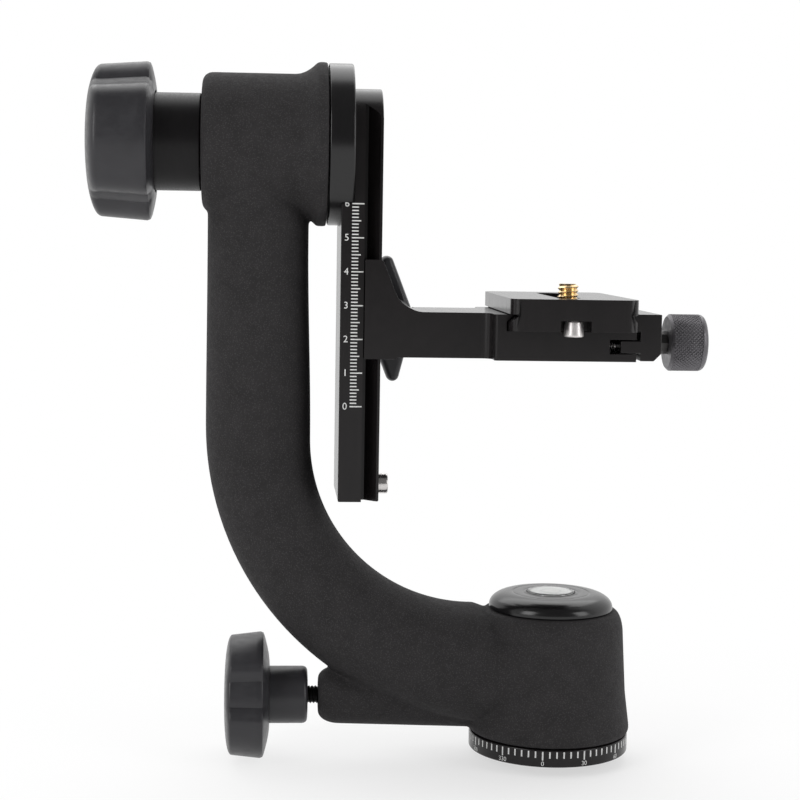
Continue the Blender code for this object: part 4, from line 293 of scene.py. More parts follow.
JAW_FACE_X = 20.8 * MM
JAW_RIGHT_X = 27.1 * MM
JAW_TOP_Z = 138.2 * MM
JAW_BOTTOM_Z = 124.3 * MM
JAW_CHAMFER = 2.2 * MM
TONGUE_END_X = 14.9 * MM
CLAMP_SCREW_Z = 128.45 * MM
CLAMP_SCREW_AXIS = (0, 0, CLAMP_SCREW_Z)
CLAMP_SCREW_RADIUS = 1.7 * MM
CLAMP_SCREW_END_X = -2.0 * MM
CLAMP_SPIGOT_RADIUS = 2.5 * MM
CLAMP_SPIGOT_LENGTH = 6.0 * MM
CLAMP_KNOB_LEFT_X = 34.5 * MM
CLAMP_KNOB_RIGHT_X = 46.2 * MM
CLAMP_KNOB_RADIUS = 8.85 * MM
CLAMP_KNOB_BEVEL = 0.8 * MM
CLAMP_KNOB_DOME = 1.9 * MM
KNURL_COUNT = 46
KNURL_DEPTH = 0.32 * MM
KNURL_ROWS_PER_DIAMOND = 8
KNURL_STEPS_PER_DIAMOND = 8
KNURL_STEEPNESS = 2.2
PIN_Y = 22.0 * MM
PIN_RADIUS = 0.8 * MM
PIN_HOLE_LEFT_X = 4.7 * MM
PIN_HOLE_END_X = 24.0 * MM
SPRING_RADIUS = 1.4 * MM
SPRING_WIRE_RADIUS = 0.25 * MM
SPRING_TURNS = 2.0

PLATE_HALF_WIDTH = 19.0 * MM
PLATE_HALF_LENGTH = 35.0 * MM
PLATE_TOP_Z = 142.6 * MM
PLATE_BOTTOM_Z = 133.1 * MM
PLATE_LEDGE_Z = 138.0 * MM
PLATE_FLANGE_HEIGHT = 2.3 * MM
PLATE_FLANGE_TOP_Z = PLATE_BOTTOM_Z + PLATE_FLANGE_HEIGHT
PLATE_WAIST = PLATE_HALF_WIDTH - (PLATE_LEDGE_Z - PLATE_FLANGE_TOP_Z)
PLATE_CORNER_ROUND = 4.2 * MM
CAMERA_SLOT_HALF_WIDTH = 3.5 * MM
CAMERA_SLOT_HALF_LENGTH = 25.0 * MM
HEAD_CHANNEL_HALF_WIDTH = 5.6 * MM
HEAD_CHANNEL_HEIGHT = 4.1 * MM
CAMERA_SCREW_Y = -19.0 * MM
CAMERA_SCREW_RADIUS = 3.15 * MM
CAMERA_SCREW_PITCH = 1.27 * MM
CAMERA_SCREW_THREAD = 0.62 * MM
CAMERA_SCREW_SUNK = 0.4 * MM
CAMERA_SCREW_TOP_Z = 146.8 * MM
CAMERA_SCREW_HEAD_RADIUS = 5.0 * MM
CAMERA_SCREW_HEAD_HEIGHT = 2.5 * MM
COIN_SLOT_WIDTH = 1.4 * MM
COIN_SLOT_DEPTH = 1.1 * MM
PLATE_STOP_Y = 31.0 * MM
PLATE_STOP_RADIUS = 3.0 * MM
PLATE_STOP_BELOW = 1.6 * MM
PLATE_STOP_HEAD_HEIGHT = 4.6 * MM
PLATE_STOP_NECK_RADIUS = 2.6 * MM
PLATE_STOP_SHANK_RADIUS = 1.4 * MM
PLATE_STOP_SHANK_LENGTH = 3.0 * MM
NOTCH_HALF_WIDTH = 4.6 * MM
NOTCH_HEIGHT = 3.2 * MM
JAW_LIP_Z = PLATE_LEDGE_Z - GAP
WALL_TOP_Z = PLATE_FLANGE_TOP_Z + GAP * (sqrt(2.0) - 1.0)

# Printed scales
BAR_ZERO_Z = 109.0 * MM
BAR_UNIT = 10.1 * MM
BAR_UNITS = 6
BAR_TICKS_PER_UNIT = 10
BAR_TICK_START_X = -65.0 * MM
BAR_TICK_SHORT = 2.0 * MM
BAR_TICK_MID = 2.7 * MM
BAR_TICK_LONG = 3.6 * MM
BAR_TICK_WIDTH = 0.36 * MM
BAR_DIGIT_X = -66.5 * MM
BAR_DIGIT_HEIGHT = 2.9 * MM
RING_TICK_STEP = 5
RING_NUMBER_STEP = 30
RING_PHASE = radians(-12.0)
RING_TICK_TOP_Z = 4.9 * MM
RING_TICK_SHORT = 2.0 * MM
RING_TICK_LONG = 2.7 * MM
RING_TICK_WIDTH = 0.46 * MM
RING_DIGIT_Z = 1.15 * MM
RING_DIGIT_HEIGHT = 1.9 * MM

ORIGIN = (0, 0, 0)
AXES = {
    "X": (Vector((0, 1, 0)), Vector((0, 0, 1)), Vector((1, 0, 0))),
    "Y": (Vector((1, 0, 0)), Vector((0, 0, 1)), Vector((0, 1, 0))),
    "Z": (Vector((1, 0, 0)), Vector((0, 1, 0)), Vector((0, 0, 1))),
}


# Materials

RELIEF_PRINT = 0.01 * MM
RELIEF_FINE = 0.02 * MM
RELIEF_MID = 0.03 * MM
RELIEF_PLASTIC = 0.05 * MM
RELIEF_PAINT = 0.16 * MM
PLAIN = (1.0, 1.0, 1.0)
DRAWN_UP = (1.0, 1.0, 0.12)
TURNED_X = (3.0, 1.0, 1.0)
TURNED_X_FINE = (4.0, 1.0, 1.0)
TURNED_Z = (1.0, 1.0, 3.0)
NOISE_RANGE = (0.3, 0.7)
TONE_COARSENESS = 12.0
TONE_DETAIL = 4.0
ROUGHNESS_COARSENESS = 3.0
ROUGHNESS_DETAIL = 5.0
LEAST_ROUGHNESS = 0.02
RELIEF_DETAIL = 3.0
FLECK_RANGE = (0.12, 0.42)
FLECK_GRAIN_share = 0.9
FLECK_GAIN = 4.0
FLECK_LIFT = 0.01


def feed(tree, socket, value):
    """Links an output to a socket, or else sets the socket's value."""
    if isinstance(value, bpy.types.NodeSocket):
        tree.links.new(value, socket)
    else:
        socket.default_value = value


def node(tree, kind, output, inputs, operation=None, data_type=None):
    """Adds a shader node, feeds its inputs and hands back one of its outputs."""
    made = tree.nodes.new("ShaderNode" + kind)
    if operation:
        made.operation = operation
    if data_type:
        made.data_type = data_type
    for name, value in inputs.items():
        feed(tree, made.inputs[name], value)
    return made.outputs[output]


def spread_out(tree, source, from_low, from_high, low, high):
    return node(tree, "MapRange", "Result",
                {"Value": source, "From Min": from_low, "From Max": from_high, "To Min": low, "To Max": high})


def surface(name, colour, roughness, metallic=0.0, grain=2600.0, relief=0.1, depth=RELIEF_FINE, spread=0.08,
            tone=0.1, stretch=PLAIN, fleck=0.0, transmission=0.0, specular=0.5):
    """A procedural finish: uneven tone, uneven roughness and a fine relief."""
    made = bpy.data.materials.new(name)
    made.use_nodes = True
    tree = made.node_tree
    place = node(tree, "TexCoord", "Object", {})
    mapped = node(tree, "Mapping", "Vector", {"Scale": stretch, "Vector": place})

    def noise(scale, detail):
        return node(tree, "TexNoise", "Fac", {"Scale": scale, "Detail": detail, "Vector": mapped})

    def ranged(source, low, high):
        return spread_out(tree, source, *NOISE_RANGE, low, high)

    def tinted(share, lift=0.0):
        return (*[min(1.0, part * share + lift) for part in colour], 1.0)

    def mixed(factor, first, second):
        return node(tree, "Mix", "Result", {"Factor": factor, "A": first, "B": second}, data_type="RGBA")

    patches = ranged(noise(grain / TONE_COARSENESS, TONE_DETAIL), 0.0, 1.0)
    tint = mixed(patches, tinted(1.0 - tone), tinted(1.0 + tone))
    if fleck:
        cells = node(tree, "TexVoronoi", "Distance", {"Scale": grain * FLECK_GRAIN_share, "Vector": mapped})
        light = tinted(FLECK_GAIN, FLECK_LIFT)
        tint = mixed(spread_out(tree, cells, *FLECK_RANGE, fleck, 0.0), tint, light)
    smoothest = max(LEAST_ROUGHNESS, roughness - spread)
    roughest = min(1.0, roughness + spread)
    bump = {"Strength": relief, "Distance": depth, "Height": noise(grain, RELIEF_DETAIL)}
    values = {
        "Base Color": tint,
        "Roughness": ranged(noise(grain / ROUGHNESS_COARSENESS, ROUGHNESS_DETAIL), smoothest, roughest),
        "Normal": node(tree, "Bump", "Normal", bump),
        "Metallic": metallic,
        "Transmission Weight": transmission,
        "Specular IOR Level": specular,
    }
    for socket, value in values.items():
        feed(tree, tree.nodes["Principled BSDF"].inputs[socket], value)
    return made


CASTING = (0.0098, 0.0084, 0.0087)
FINISHES = {
    "crinkle": surface("crinkle_paint", (0.0235, 0.0220, 0.0228), 0.80, grain=2100.0, relief=0.75,
                       depth=RELIEF_PAINT, tone=0.14, fleck=0.30, specular=0.25),
    "cast": surface("satin_black", CASTING, 0.20, relief=0.06, depth=RELIEF_MID, spread=0.03, specular=0.28),
    "anodised": surface("anodised_black", CASTING, 0.21, grain=3000.0, relief=0.05, spread=0.03,
                        stretch=DRAWN_UP, tone=0.12, specular=0.28),
    "sleeve": surface("sleeve_black", (0.0068, 0.0060, 0.0066), 0.38, depth=RELIEF_MID, stretch=TURNED_X_FINE,
                      specular=0.22),
    "gloss": surface("gloss_black", (0.0050, 0.0046, 0.0050), 0.22, grain=500.0, relief=0.02, spread=0.02),
    "knob": surface("knob_plastic", (0.0275, 0.0268, 0.0300), 0.36, grain=1500.0, relief=0.12,
                    depth=RELIEF_PLASTIC, spread=0.06, tone=0.12, specular=0.4),
    "knurled": surface("knurled_grey", (0.135, 0.130, 0.139), 0.38, metallic=0.55, grain=2400.0,
                       depth=RELIEF_MID, tone=0.15),
    "steel": surface("turned_steel", (0.66, 0.64, 0.63), 0.26, metallic=1.0, relief=0.12, stretch=TURNED_X,
                     tone=0.06),
    "bright_steel": surface("bright_steel", (0.72, 0.69, 0.68), 0.40, metallic=0.85, relief=0.12,
                            stretch=TURNED_Z, tone=0.06),
    "dark_steel": surface("dark_steel", (0.06, 0.058, 0.058), 0.35, metallic=0.9, relief=0.12),
    "brass": surface("turned_brass", (0.88, 0.66, 0.38), 0.24, metallic=1.0, stretch=TURNED_Z, tone=0.08),
    "print": surface("white_print", (0.72, 0.72, 0.71), 0.6, grain=4000.0, relief=0.05, depth=RELIEF_PRINT,
                     tone=0.08),
    "mark": surface("black_mark", (0.01, 0.01, 0.01), 0.5, grain=3000.0, relief=0.05, depth=RELIEF_PLASTIC),
    # White washer colour, also put on the level's air bubble as a painted highlight
    "washer": surface("white_washer_and_bubble_highlight", (0.74, 0.73, 0.69), 0.5, grain=1800.0, depth=RELIEF_MID, tone=0.12),
    "acrylic": surface("clear_acrylic", (0.95, 0.96, 0.95), 0.06, grain=600.0, relief=0.01,
                       depth=RELIEF_PLASTIC, spread=0.02, tone=0.02, transmission=1.0),
    "liquid": surface("clear_liquid", (0.80, 0.81, 0.79), 0.10, grain=500.0, relief=0.02,
                      depth=RELIEF_PLASTIC, spread=0.03, tone=0.08),
}


# Shapes

ROUNDED_SIDE_share = 0.49
THREAD_END_share = 0.7


def arc(centre, radius, start, end, steps, rise=None):
    """Points of a round stretch, or of an elliptic one where a rise is given as its second radius."""
    rise = radius if rise is None else rise
    angles = [start + (end - start) * index / steps for index in range(steps + 1)]
    return [(centre[0] + radius * cos(angle), centre[1] + rise * sin(angle)) for angle in angles]


def softened(points, closed=False):
    """Rounds the corners of a chain of points; a third value in a point is how far its rounding reaches."""
    result = []
    for index, point in enumerate(points):
        ends = index in (0, len(points) - 1) and not closed
        if len(point) == 2 or ends:
            result.append(tuple(point[:2]))
            continue
        corner = Vector(point[:2])
        before = Vector(points[index - 1][:2]) - corner
        after = Vector(points[(index + 1) % len(points)][:2]) - corner
        start = corner + before.normalized() * min(point[2], before.length * ROUNDED_SIDE_share)
        end = corner + after.normalized() * min(point[2], after.length * ROUNDED_SIDE_share)
        for step in range(CORNER_STEPS + 1):
            share = step / CORNER_STEPS
            spot = start * (1 - share) ** 2 + corner * 2 * share * (1 - share) + end * share ** 2
            result.append(tuple(spot))
    return result


def turned(profile, axis, centre, steps, outline=None):
    """Solid turned about an axis from points (radius, distance along it)."""
    side, up, along = AXES[axis]
    centre = Vector(centre)
    shape = bmesh.new()
    rings = []
    for radius, distance in profile:
        middle = centre + along * distance
        if radius == 0:
            rings.append([shape.verts.new(middle)])
            continue
        ring = []
        for index in range(steps):
            angle = TURN * index / steps
            reach = outline(radius, angle, distance) if outline else radius
            ring.append(shape.verts.new(middle + side * reach * cos(angle) + up * reach * sin(angle)))
        rings.append(ring)
    pairs = list(zip(rings, rings[1:]))
    if profile[0][0] != 0:
        pairs.append((rings[-1], rings[0]))
    for first, second in pairs:
        for index in range(steps):
            following = (index + 1) % steps
            corners = [first[index % len(first)], first[following % len(first)],
                       second[following % len(second)], second[index % len(second)]]
            distinct = list(dict.fromkeys(corners))
            if len(distinct) > 2:
                shape.faces.new(distinct)
    return shape


def rod(radius, start, end):
    return [(0, start), (radius, start), (radius, end), (0, end)]


def soft_rod(radius, start, end, reach):
    return softened([(0, start), (radius, start, reach), (radius, end, reach), (0, end)])


def soft_ring(inner, outer, start, end, reach):
    corners = [(inner, start, reach), (outer, start, reach), (outer, end, reach), (inner, end, reach)]
    return softened(corners, True)


def extruded(outline, axis, start, end):
    side, up, along = AXES[axis]
    shape = bmesh.new()
    near = [shape.verts.new(side * a + up * b + along * start) for a, b in outline]
    far = [shape.verts.new(side * a + up * b + along * end) for a, b in outline]
    shape.faces.new(near)
    shape.faces.new(list(reversed(far)))
    for index in range(len(outline)):
        following = (index + 1) % len(outline)
        shape.faces.new((near[index], near[following], far[following], far[index]))
    return shape


def lofted(sections):
    shape = bmesh.new()
    rings = [[shape.verts.new(point) for point in section] for section in sections]
    shape.faces.new(rings[0])
    shape.faces.new(list(reversed(rings[-1])))
    for first, second in zip(rings, rings[1:]):
        for index in range(len(first)):
            following = (index + 1) % len(first)
            shape.faces.new((first[index], first[following], second[following], second[index]))
    return shape


def together(shapes):
    whole = bmesh.new()
    for shape in shapes:
        places = {corner: whole.verts.new(corner.co) for corner in shape.verts}
        for face in shape.faces:
            whole.faces.new([places[corner] for corner in face.verts])
        shape.free()
    return whole


def thread_cut(depth, pitch, angle, distance):
    """How deep a thread's groove is at an angle and a distance along its axis."""
    phase = (distance / pitch - angle / TURN) % 1.0
    return depth * (1.0 - abs(phase * 2.0 - 1.0))


def threaded(radius, depth, pitch, axis, centre, start, end, steps):
    """A rod with a helical thread, its ends run out to plain faces."""
    rows = max(ROUND_STEPS, int((end - start) / pitch * THREAD_ROWS))

    def groove(reach, angle, distance):
        if reach < radius * 0.5:
            return reach
        return reach - thread_cut(depth, pitch, angle, distance)

    profile = [(0, start)]
    for index in range(rows + 1):
        distance = start + (end - start) * index / rows
        rim = min(1.0, (end - distance) / (pitch * 0.5), (distance - start) / (pitch * 0.5))
        profile.append((radius - depth * THREAD_END_share * (1.0 - rim), distance))
    profile.append((0, end))
    return turned(profile, axis, centre, steps, groove)


# Objects

def raw(name, shape):
    bmesh.ops.recalc_face_normals(shape, faces=shape.faces)
    mesh = bpy.data.meshes.new(name)
    shape.to_mesh(mesh)
    shape.free()
    item = bpy.data.objects.new(name, mesh)
    bpy.context.collection.objects.link(item)
    return item


def bake(item):
    """Turns an object's modifiers into its mesh."""
    graph = bpy.context.evaluated_depsgraph_get()
    baked = bpy.data.meshes.new_from_object(item.evaluated_get(graph), preserve_all_data_layers=True,
                                            depsgraph=graph)
    item.modifiers.clear()
    item.data = baked


def boolean(item, other, operation):
    step = item.modifiers.new("step", "BOOLEAN")
    step.operation = operation
    step.solver = "EXACT"
    step.object = other
    bake(item)
    bpy.data.objects.remove(other, do_unlink=True)


def cut(item, *shapes):
    for shape in shapes:
        boolean(item, raw("tool", shape), "DIFFERENCE")


def drill(item, radius, start, end, axis, centre, steps=SMALL_STEPS):
    cut(item, turned(rod(radius, start, end), axis, centre, steps))


def fuse(item, shape):
    boolean(item, raw("tool", shape), "UNION")


def keep_common(item, shape):
    boolean(item, raw("tool", shape), "INTERSECT")


def bevel(item, width):
    """Softens the sharp edges of a flat-faced piece."""
    shape = bmesh.new()
    shape.from_mesh(item.data)
    bmesh.ops.remove_doubles(shape, verts=shape.verts, dist=WELD)
    bmesh.ops.dissolve_limit(shape, angle_limit=FLAT_ANGLE, verts=shape.verts, edges=shape.edges)
    shape.to_mesh(item.data)
    shape.free()
    step = item.modifiers.new("bevel", "BEVEL")
    step.width = width
    step.segments = BEVEL_SEGMENTS
    step.limit_method = "ANGLE"
    step.angle_limit = BEVEL_ANGLE
    step.use_clamp_overlap = True
    bake(item)


def dress(item, body, finish, slot, *nodes, smooth=True):
    """Shades a piece, gives it its finish and body, and hides the nodes that it stands for."""
    if smooth:
        item.data.shade_smooth()
        item.data.set_sharp_from_angle(angle=SHARP_ANGLE)
        normals = item.modifiers.new("normals", "WEIGHTED_NORMAL")
        normals.keep_sharp = True
        bake(item)
    item.data.materials.clear()
    item.data.materials.append(FINISHES[finish])
    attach(item, body)
    if nodes:
        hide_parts(*nodes)
    return item


def carried(name, finish):
    """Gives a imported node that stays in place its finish."""
    item = bpy.data.objects[name]
    item.data.materials.clear()
    item.data.materials.append(FINISHES[finish])
    item.data.shade_smooth()
    item.data.set_sharp_from_angle(angle=SHARP_ANGLE)


def glyphs(text, height):
    """Flat mesh of a short number, centred on zero."""
    curve = bpy.data.curves.new("number", "FONT")
    curve.body = text
    curve.size = height
    curve.align_x = "CENTER"
    curve.align_y = "CENTER"
    item = bpy.data.objects.new("number", curve)
    bpy.context.collection.objects.link(item)
    graph = bpy.context.evaluated_depsgraph_get()
    mesh = bpy.data.meshes.new_from_object(item.evaluated_get(graph))
    shape = bmesh.new()
    shape.from_mesh(mesh)
    bpy.data.objects.remove(item, do_unlink=True)
    return shape


def moved(shape, place):
    """Sends each point (along, up) of a flat shape to where a scale's surface has it."""
    for corner in shape.verts:
        corner.co = place(corner.co.x, corner.co.y)
    return shape


def bar_mark(left, right, low, high):
    shape = bmesh.new()
    corners = ((left, low), (right, low), (right, high), (left, high))
    shape.faces.new([shape.verts.new((along, up, 0)) for along, up in corners])
    return shape


# The pieces

def arm_ring(outer, inner, half_depth):
    middle = ((outer[0] + inner[0]) / 2, (outer[1] + inner[1]) / 2)
    reach = ((inner[0] - outer[0]) / 2, (inner[1] - outer[1]) / 2)
    angles = [TURN * index / MID_STEPS for index in range(MID_STEPS)]
    return [(middle[0] + reach[0] * cos(angle), half_depth * sin(angle), middle[1] + reach[1] * cos(angle))
            for angle in angles]


def arm_sections():
    left = ARM_TUBE_X - ARM_TUBE_HALF_WIDTH
    right = ARM_TUBE_X + ARM_TUBE_HALF_WIDTH
    sections = [arm_ring((left, height), (right, height), ARM_TUBE_HALF_WIDTH)
                for height in (ARM_TUBE_TOP, ARM_STRAIGHT_TOP)]
    bend_left = (ARM_OUTER_CENTRE[0] - ARM_OUTER_RADIUS, ARM_OUTER_CENTRE[1])
    bend_right = (ARM_INNER_CENTRE[0] - ARM_INNER_RADIUS, ARM_INNER_CENTRE[1])
    for index in range(1, ARM_STRAIGHT_STEPS):
        share = index / ARM_STRAIGHT_STEPS
        ease = share * share * (3 - 2 * share)
        outer = (left + (bend_left[0] - left) * ease,
                 ARM_STRAIGHT_TOP + (bend_left[1] - ARM_STRAIGHT_TOP) * share)
        inner = (right + (bend_right[0] - right) * ease,
                 ARM_STRAIGHT_TOP + (bend_right[1] - ARM_STRAIGHT_TOP) * share)
        sections.append(arm_ring(outer, inner, ARM_TUBE_HALF_WIDTH))
    for index in range(ARM_BEND_STEPS + 1):
        share = index / ARM_BEND_STEPS
        angle = share * pi / 2
        outer = (ARM_OUTER_CENTRE[0] - ARM_OUTER_RADIUS * cos(angle),
                 ARM_OUTER_CENTRE[1] - ARM_OUTER_RADIUS * sin(angle))
        inner = (ARM_INNER_CENTRE[0] - ARM_INNER_RADIUS * cos(angle),
                 ARM_INNER_CENTRE[1] - ARM_INNER_RADIUS * sin(angle))
        depth = ARM_TUBE_HALF_WIDTH + (ARM_FOOT_HALF_DEPTH - ARM_TUBE_HALF_WIDTH) * share * share
        sections.append(arm_ring(outer, inner, depth))
    foot = (ARM_END_OUTER_X, ARM_OUTER_CENTRE[1] - ARM_OUTER_RADIUS)
    sections.append(arm_ring(foot, ARM_END_INNER, ARM_FOOT_HALF_DEPTH))
    return sections


def swing_arm():
    """The casting: its shells are joined, remeshed and eased so that they run into each other."""
    housing = [(0, HOUSING_BOTTOM), (HOUSING_FOOT_RADIUS - EDGE_BREAK, HOUSING_BOTTOM),
               (HOUSING_FOOT_RADIUS, HOUSING_FOOT_HEIGHT), (HOUSING_WAIST_RADIUS, HOUSING_WAIST_HEIGHT)]
    shoulder = (HOUSING_TOP_RADIUS, HOUSING_SHOULDER_HEIGHT)
    housing += arc(shoulder, HOUSING_SHOULDER_RADIUS - HOUSING_TOP_RADIUS, 0, pi / 2, ROUND_STEPS,
                   HOUSING_TOP - HOUSING_SHOULDER_HEIGHT)
    housing.append((0, HOUSING_TOP))

    corner = (TILT_HOUSING_RADIUS - TILT_HOUSING_ROUND, TILT_HOUSING_LEFT_X + TILT_HOUSING_ROUND)
    barrel = [(0, TILT_HOUSING_LEFT_X)] + arc(corner, TILT_HOUSING_ROUND, -pi / 2, 0, ROUND_STEPS)
    for index in range(ROUND_STEPS + 1):
        share = index / ROUND_STEPS
        barrel.append((TILT_HOUSING_RADIUS + (TILT_FLANGE_RADIUS - TILT_HOUSING_RADIUS) * share * share,
                       TILT_FLARE_START_X + (TILT_FLANGE_START_X - TILT_FLARE_START_X) * share))
    barrel += [(TILT_FLANGE_RADIUS, TILT_FLANGE_FACE_X), (0, TILT_FLANGE_FACE_X)]

    boss = [(0, BOSS_FACE_X)]
    boss += arc((BOSS_NOSE_RADIUS - BOSS_ROUND, BOSS_FACE_X + BOSS_ROUND_LENGTH), BOSS_ROUND, -pi / 2, 0,
                ROUND_STEPS, BOSS_ROUND_LENGTH)
    boss += [(BOSS_ROOT_RADIUS, BOSS_END_X), (0, BOSS_END_X)]

    seat = BEARING_RADIUS + GAP
    washer_top = HOUSING_BOTTOM + WASHER_HEIGHT + GAP
    pan_bore = [
        (0, HOUSING_BOTTOM - OVERRUN), (WASHER_RADIUS + GAP, HOUSING_BOTTOM - OVERRUN),
        (WASHER_RADIUS + GAP, washer_top), (seat, washer_top), (seat, LOWER_BEARING_TOP),
        (PAN_BORE_RADIUS, LOWER_BEARING_TOP), (PAN_BORE_RADIUS, UPPER_BEARING_BOTTOM - GAP),
        (seat, UPPER_BEARING_BOTTOM - GAP), (seat, CAP_SEAT_FLOOR), (CAP_SEAT_RADIUS, CAP_SEAT_FLOOR),
        (CAP_SEAT_RADIUS, HOUSING_TOP + OVERRUN), (0, HOUSING_TOP + OVERRUN),
    ]
    seat = TILT_BEARING_RADIUS + GAP
    way = SHAFT_RADIUS + SHAFT_CLEARANCE
    seat_depth = TILT_BEARING_LENGTH + GAP + GAP
    tilt_bore = [
        (0, TILT_HOUSING_LEFT_X - OVERRUN), (seat, TILT_HOUSING_LEFT_X - OVERRUN),
        (seat, TILT_HOUSING_LEFT_X + seat_depth), (way, TILT_HOUSING_LEFT_X + seat_depth),
        (way, TILT_FLANGE_FACE_X - seat_depth), (seat, TILT_FLANGE_FACE_X - seat_depth),
        (seat, TILT_FLANGE_FACE_X + OVERRUN), (0, TILT_FLANGE_FACE_X + OVERRUN),
    ]
    shells = [lofted(arm_sections()), turned(barrel, "X", TILT_AXIS, FINE_STEPS),
              turned(boss, "X", BOSS_AXIS, MID_STEPS), turned(housing, "Z", ORIGIN, FINE_STEPS)]
    arm = raw("swing_arm_casting", together(shells))
    step = arm.modifiers.new("shell", "REMESH")
    step.mode = "VOXEL"
    step.voxel_size = VOXEL
    ease = arm.modifiers.new("ease", "SMOOTH")
    ease.factor = BLEND_FACTOR
    ease.iterations = BLEND_PASSES
    bake(arm)
    bores = raw("bores", together([turned(pan_bore, "Z", ORIGIN, MID_STEPS),
                                   turned(tilt_bore, "X", TILT_AXIS, MID_STEPS)]))
    stud = rod(PAN_STUD_RADIUS + GAP, BOSS_FACE_X - OVERRUN, -SPINDLE_RADIUS)
    fuse(bores, turned(stud, "X", BOSS_AXIS, SMALL_STEPS))
    boolean(arm, bores, "DIFFERENCE")
    dress(arm, "arm", "crinkle", "arm", "swing_arm")


def pan_base():
    profile = soft_ring(BUSH_RADIUS + GAP, BASE_RADIUS - PRINT_LIFT, 0, BASE_HEIGHT, EDGE_BREAK)
    ring = raw("pan_base_ring", turned(profile, "Z", ORIGIN, FINE_STEPS))
    dress(ring, "base", "anodised", "anodised", "pan_base")

    def on_rim(angle):
        def place(along, up):
            turn = angle + along / BASE_RADIUS
            return Vector((BASE_RADIUS * sin(turn), -BASE_RADIUS * cos(turn), up))
        return place

    marks = []
    half = RING_TICK_WIDTH / 2
    for degrees in range(0, 360, RING_TICK_STEP):
        numbered = degrees % RING_NUMBER_STEP == 0
        length = RING_TICK_LONG if numbered else RING_TICK_SHORT
        place = on_rim(RING_PHASE + radians(degrees))
        marks.append(moved(bar_mark(-half, half, RING_TICK_TOP_Z - length, RING_TICK_TOP_Z), place))
        if numbered:
            number = glyphs(str(degrees), RING_DIGIT_HEIGHT)
            bmesh.ops.translate(number, verts=number.verts, vec=(0, RING_DIGIT_Z, 0))
            marks.append(moved(number, place))
    dress(raw("pan_base_scale", together(marks)), "base", "print", "anodised")


def tripod_bush():
    bottom = BUSH_LIFT + BUSH_LEAD
    profile = softened([(BUSH_BORE_RADIUS + BUSH_LEAD, BUSH_LIFT), (BUSH_RADIUS, BUSH_LIFT, EDGE_FINE),
                        (BUSH_RADIUS, BUSH_HEIGHT)])
    depth = BUSH_HEIGHT - bottom
    rows = int(depth / BUSH_PITCH) * BUSH_ROWS
    profile += [(BUSH_BORE_RADIUS, BUSH_HEIGHT - depth * row / rows) for row in range(rows + 1)]

    def groove(reach, angle, distance):
        if reach > BUSH_BORE_RADIUS + TOLERANCE:
            return reach
        return reach + thread_cut(BUSH_THREAD, BUSH_PITCH, angle, distance)

    thread = raw("tripod_bush_thread", turned(profile, "Z", ORIGIN, MID_STEPS, groove))
    dress(thread, "base", "brass", "brass", "tripod_bush")


def level():
    rim_top = CAP_BOTTOM + CAP_RIM_HEIGHT
    floor = CAP_TOP - VIAL_DEPTH
    plug = CAP_SEAT_RADIUS - GAP
    profile = [(0, CAP_BOTTOM - CAP_PLUG_DEPTH), (plug, CAP_BOTTOM - CAP_PLUG_DEPTH), (plug, CAP_BOTTOM),
               (CAP_RADIUS - CAP_EDGE, CAP_BOTTOM), (CAP_RADIUS, CAP_BOTTOM + CAP_EDGE)]
    profile += arc((CAP_FLAT_RADIUS, rim_top), CAP_RADIUS - CAP_FLAT_RADIUS, 0, pi / 2, DOME_STEPS,
                   CAP_DOME_HEIGHT)
    for radius in (CAP_FLAT_RADIUS - CAP_GROOVE_WIDTH, VIAL_RADIUS + CAP_GROOVE_WIDTH * 3):
        profile += [(radius, CAP_TOP), (radius - CAP_GROOVE_WIDTH / 2, CAP_TOP - CAP_GROOVE_DEPTH),
                    (radius - CAP_GROOVE_WIDTH, CAP_TOP)]
    profile += [(VIAL_RADIUS + GAP, CAP_TOP), (VIAL_RADIUS + GAP, floor), (0, floor)]
    cap = raw("level_cap_shell", turned(profile, "Z", ORIGIN, FINE_STEPS))
    dress(cap, "arm", "gloss", "gloss", "level_cap")

    low = floor + GAP
    top = CAP_TOP + VIAL_CROWN
    roof = top - VIAL_ROOF
    glass = softened([(0, low), (VIAL_RADIUS, low, EDGE_FINE), (VIAL_RADIUS, top, EDGE_FULL), (0, top)])
    shell = raw("bubble_level_vial", turned(glass, "Z", ORIGIN, MID_STEPS))
    drill(shell, VIAL_RADIUS - VIAL_WALL, low + VIAL_WALL, roof, "Z", ORIGIN, MID_STEPS)
    dress(shell, "arm", "acrylic", "acrylic", "bubble_level")
    surface_z = roof - LIQUID_SINK
    liquid = rod(VIAL_RADIUS - VIAL_WALL - LIQUID_GAP, low + VIAL_WALL, surface_z)
    dress(raw("bubble_level_liquid", turned(liquid, "Z", ORIGIN, MID_STEPS)), "arm", "liquid", "acrylic")
    ring = soft_ring(CIRCLE_INNER_RADIUS, CIRCLE_OUTER_RADIUS, surface_z, roof - CIRCLE_SINK, CIRCLE_EDGE)
    dress(raw("bubble_level_circle", turned(ring, "Z", ORIGIN, MID_STEPS)), "arm", "mark", "acrylic")
    rim = arc((0, roof - BUBBLE_RIM_SINK), BUBBLE_RADIUS, 0, pi / 2, ROUND_STEPS,
              BUBBLE_RADIUS * BUBBLE_RISE_share)
    profile = [(0, surface_z)] + rim[:-1] + [(0, roof - BUBBLE_TOP_SINK)]
    bubble = raw("bubble_level_bubble", turned(profile, "Z", BUBBLE_PLACE, SMALL_STEPS))
    # The clear air bubble gets the opaque white washer finish: its brightness is a painted highlight
    dress(bubble, "arm", "washer", "acrylic")


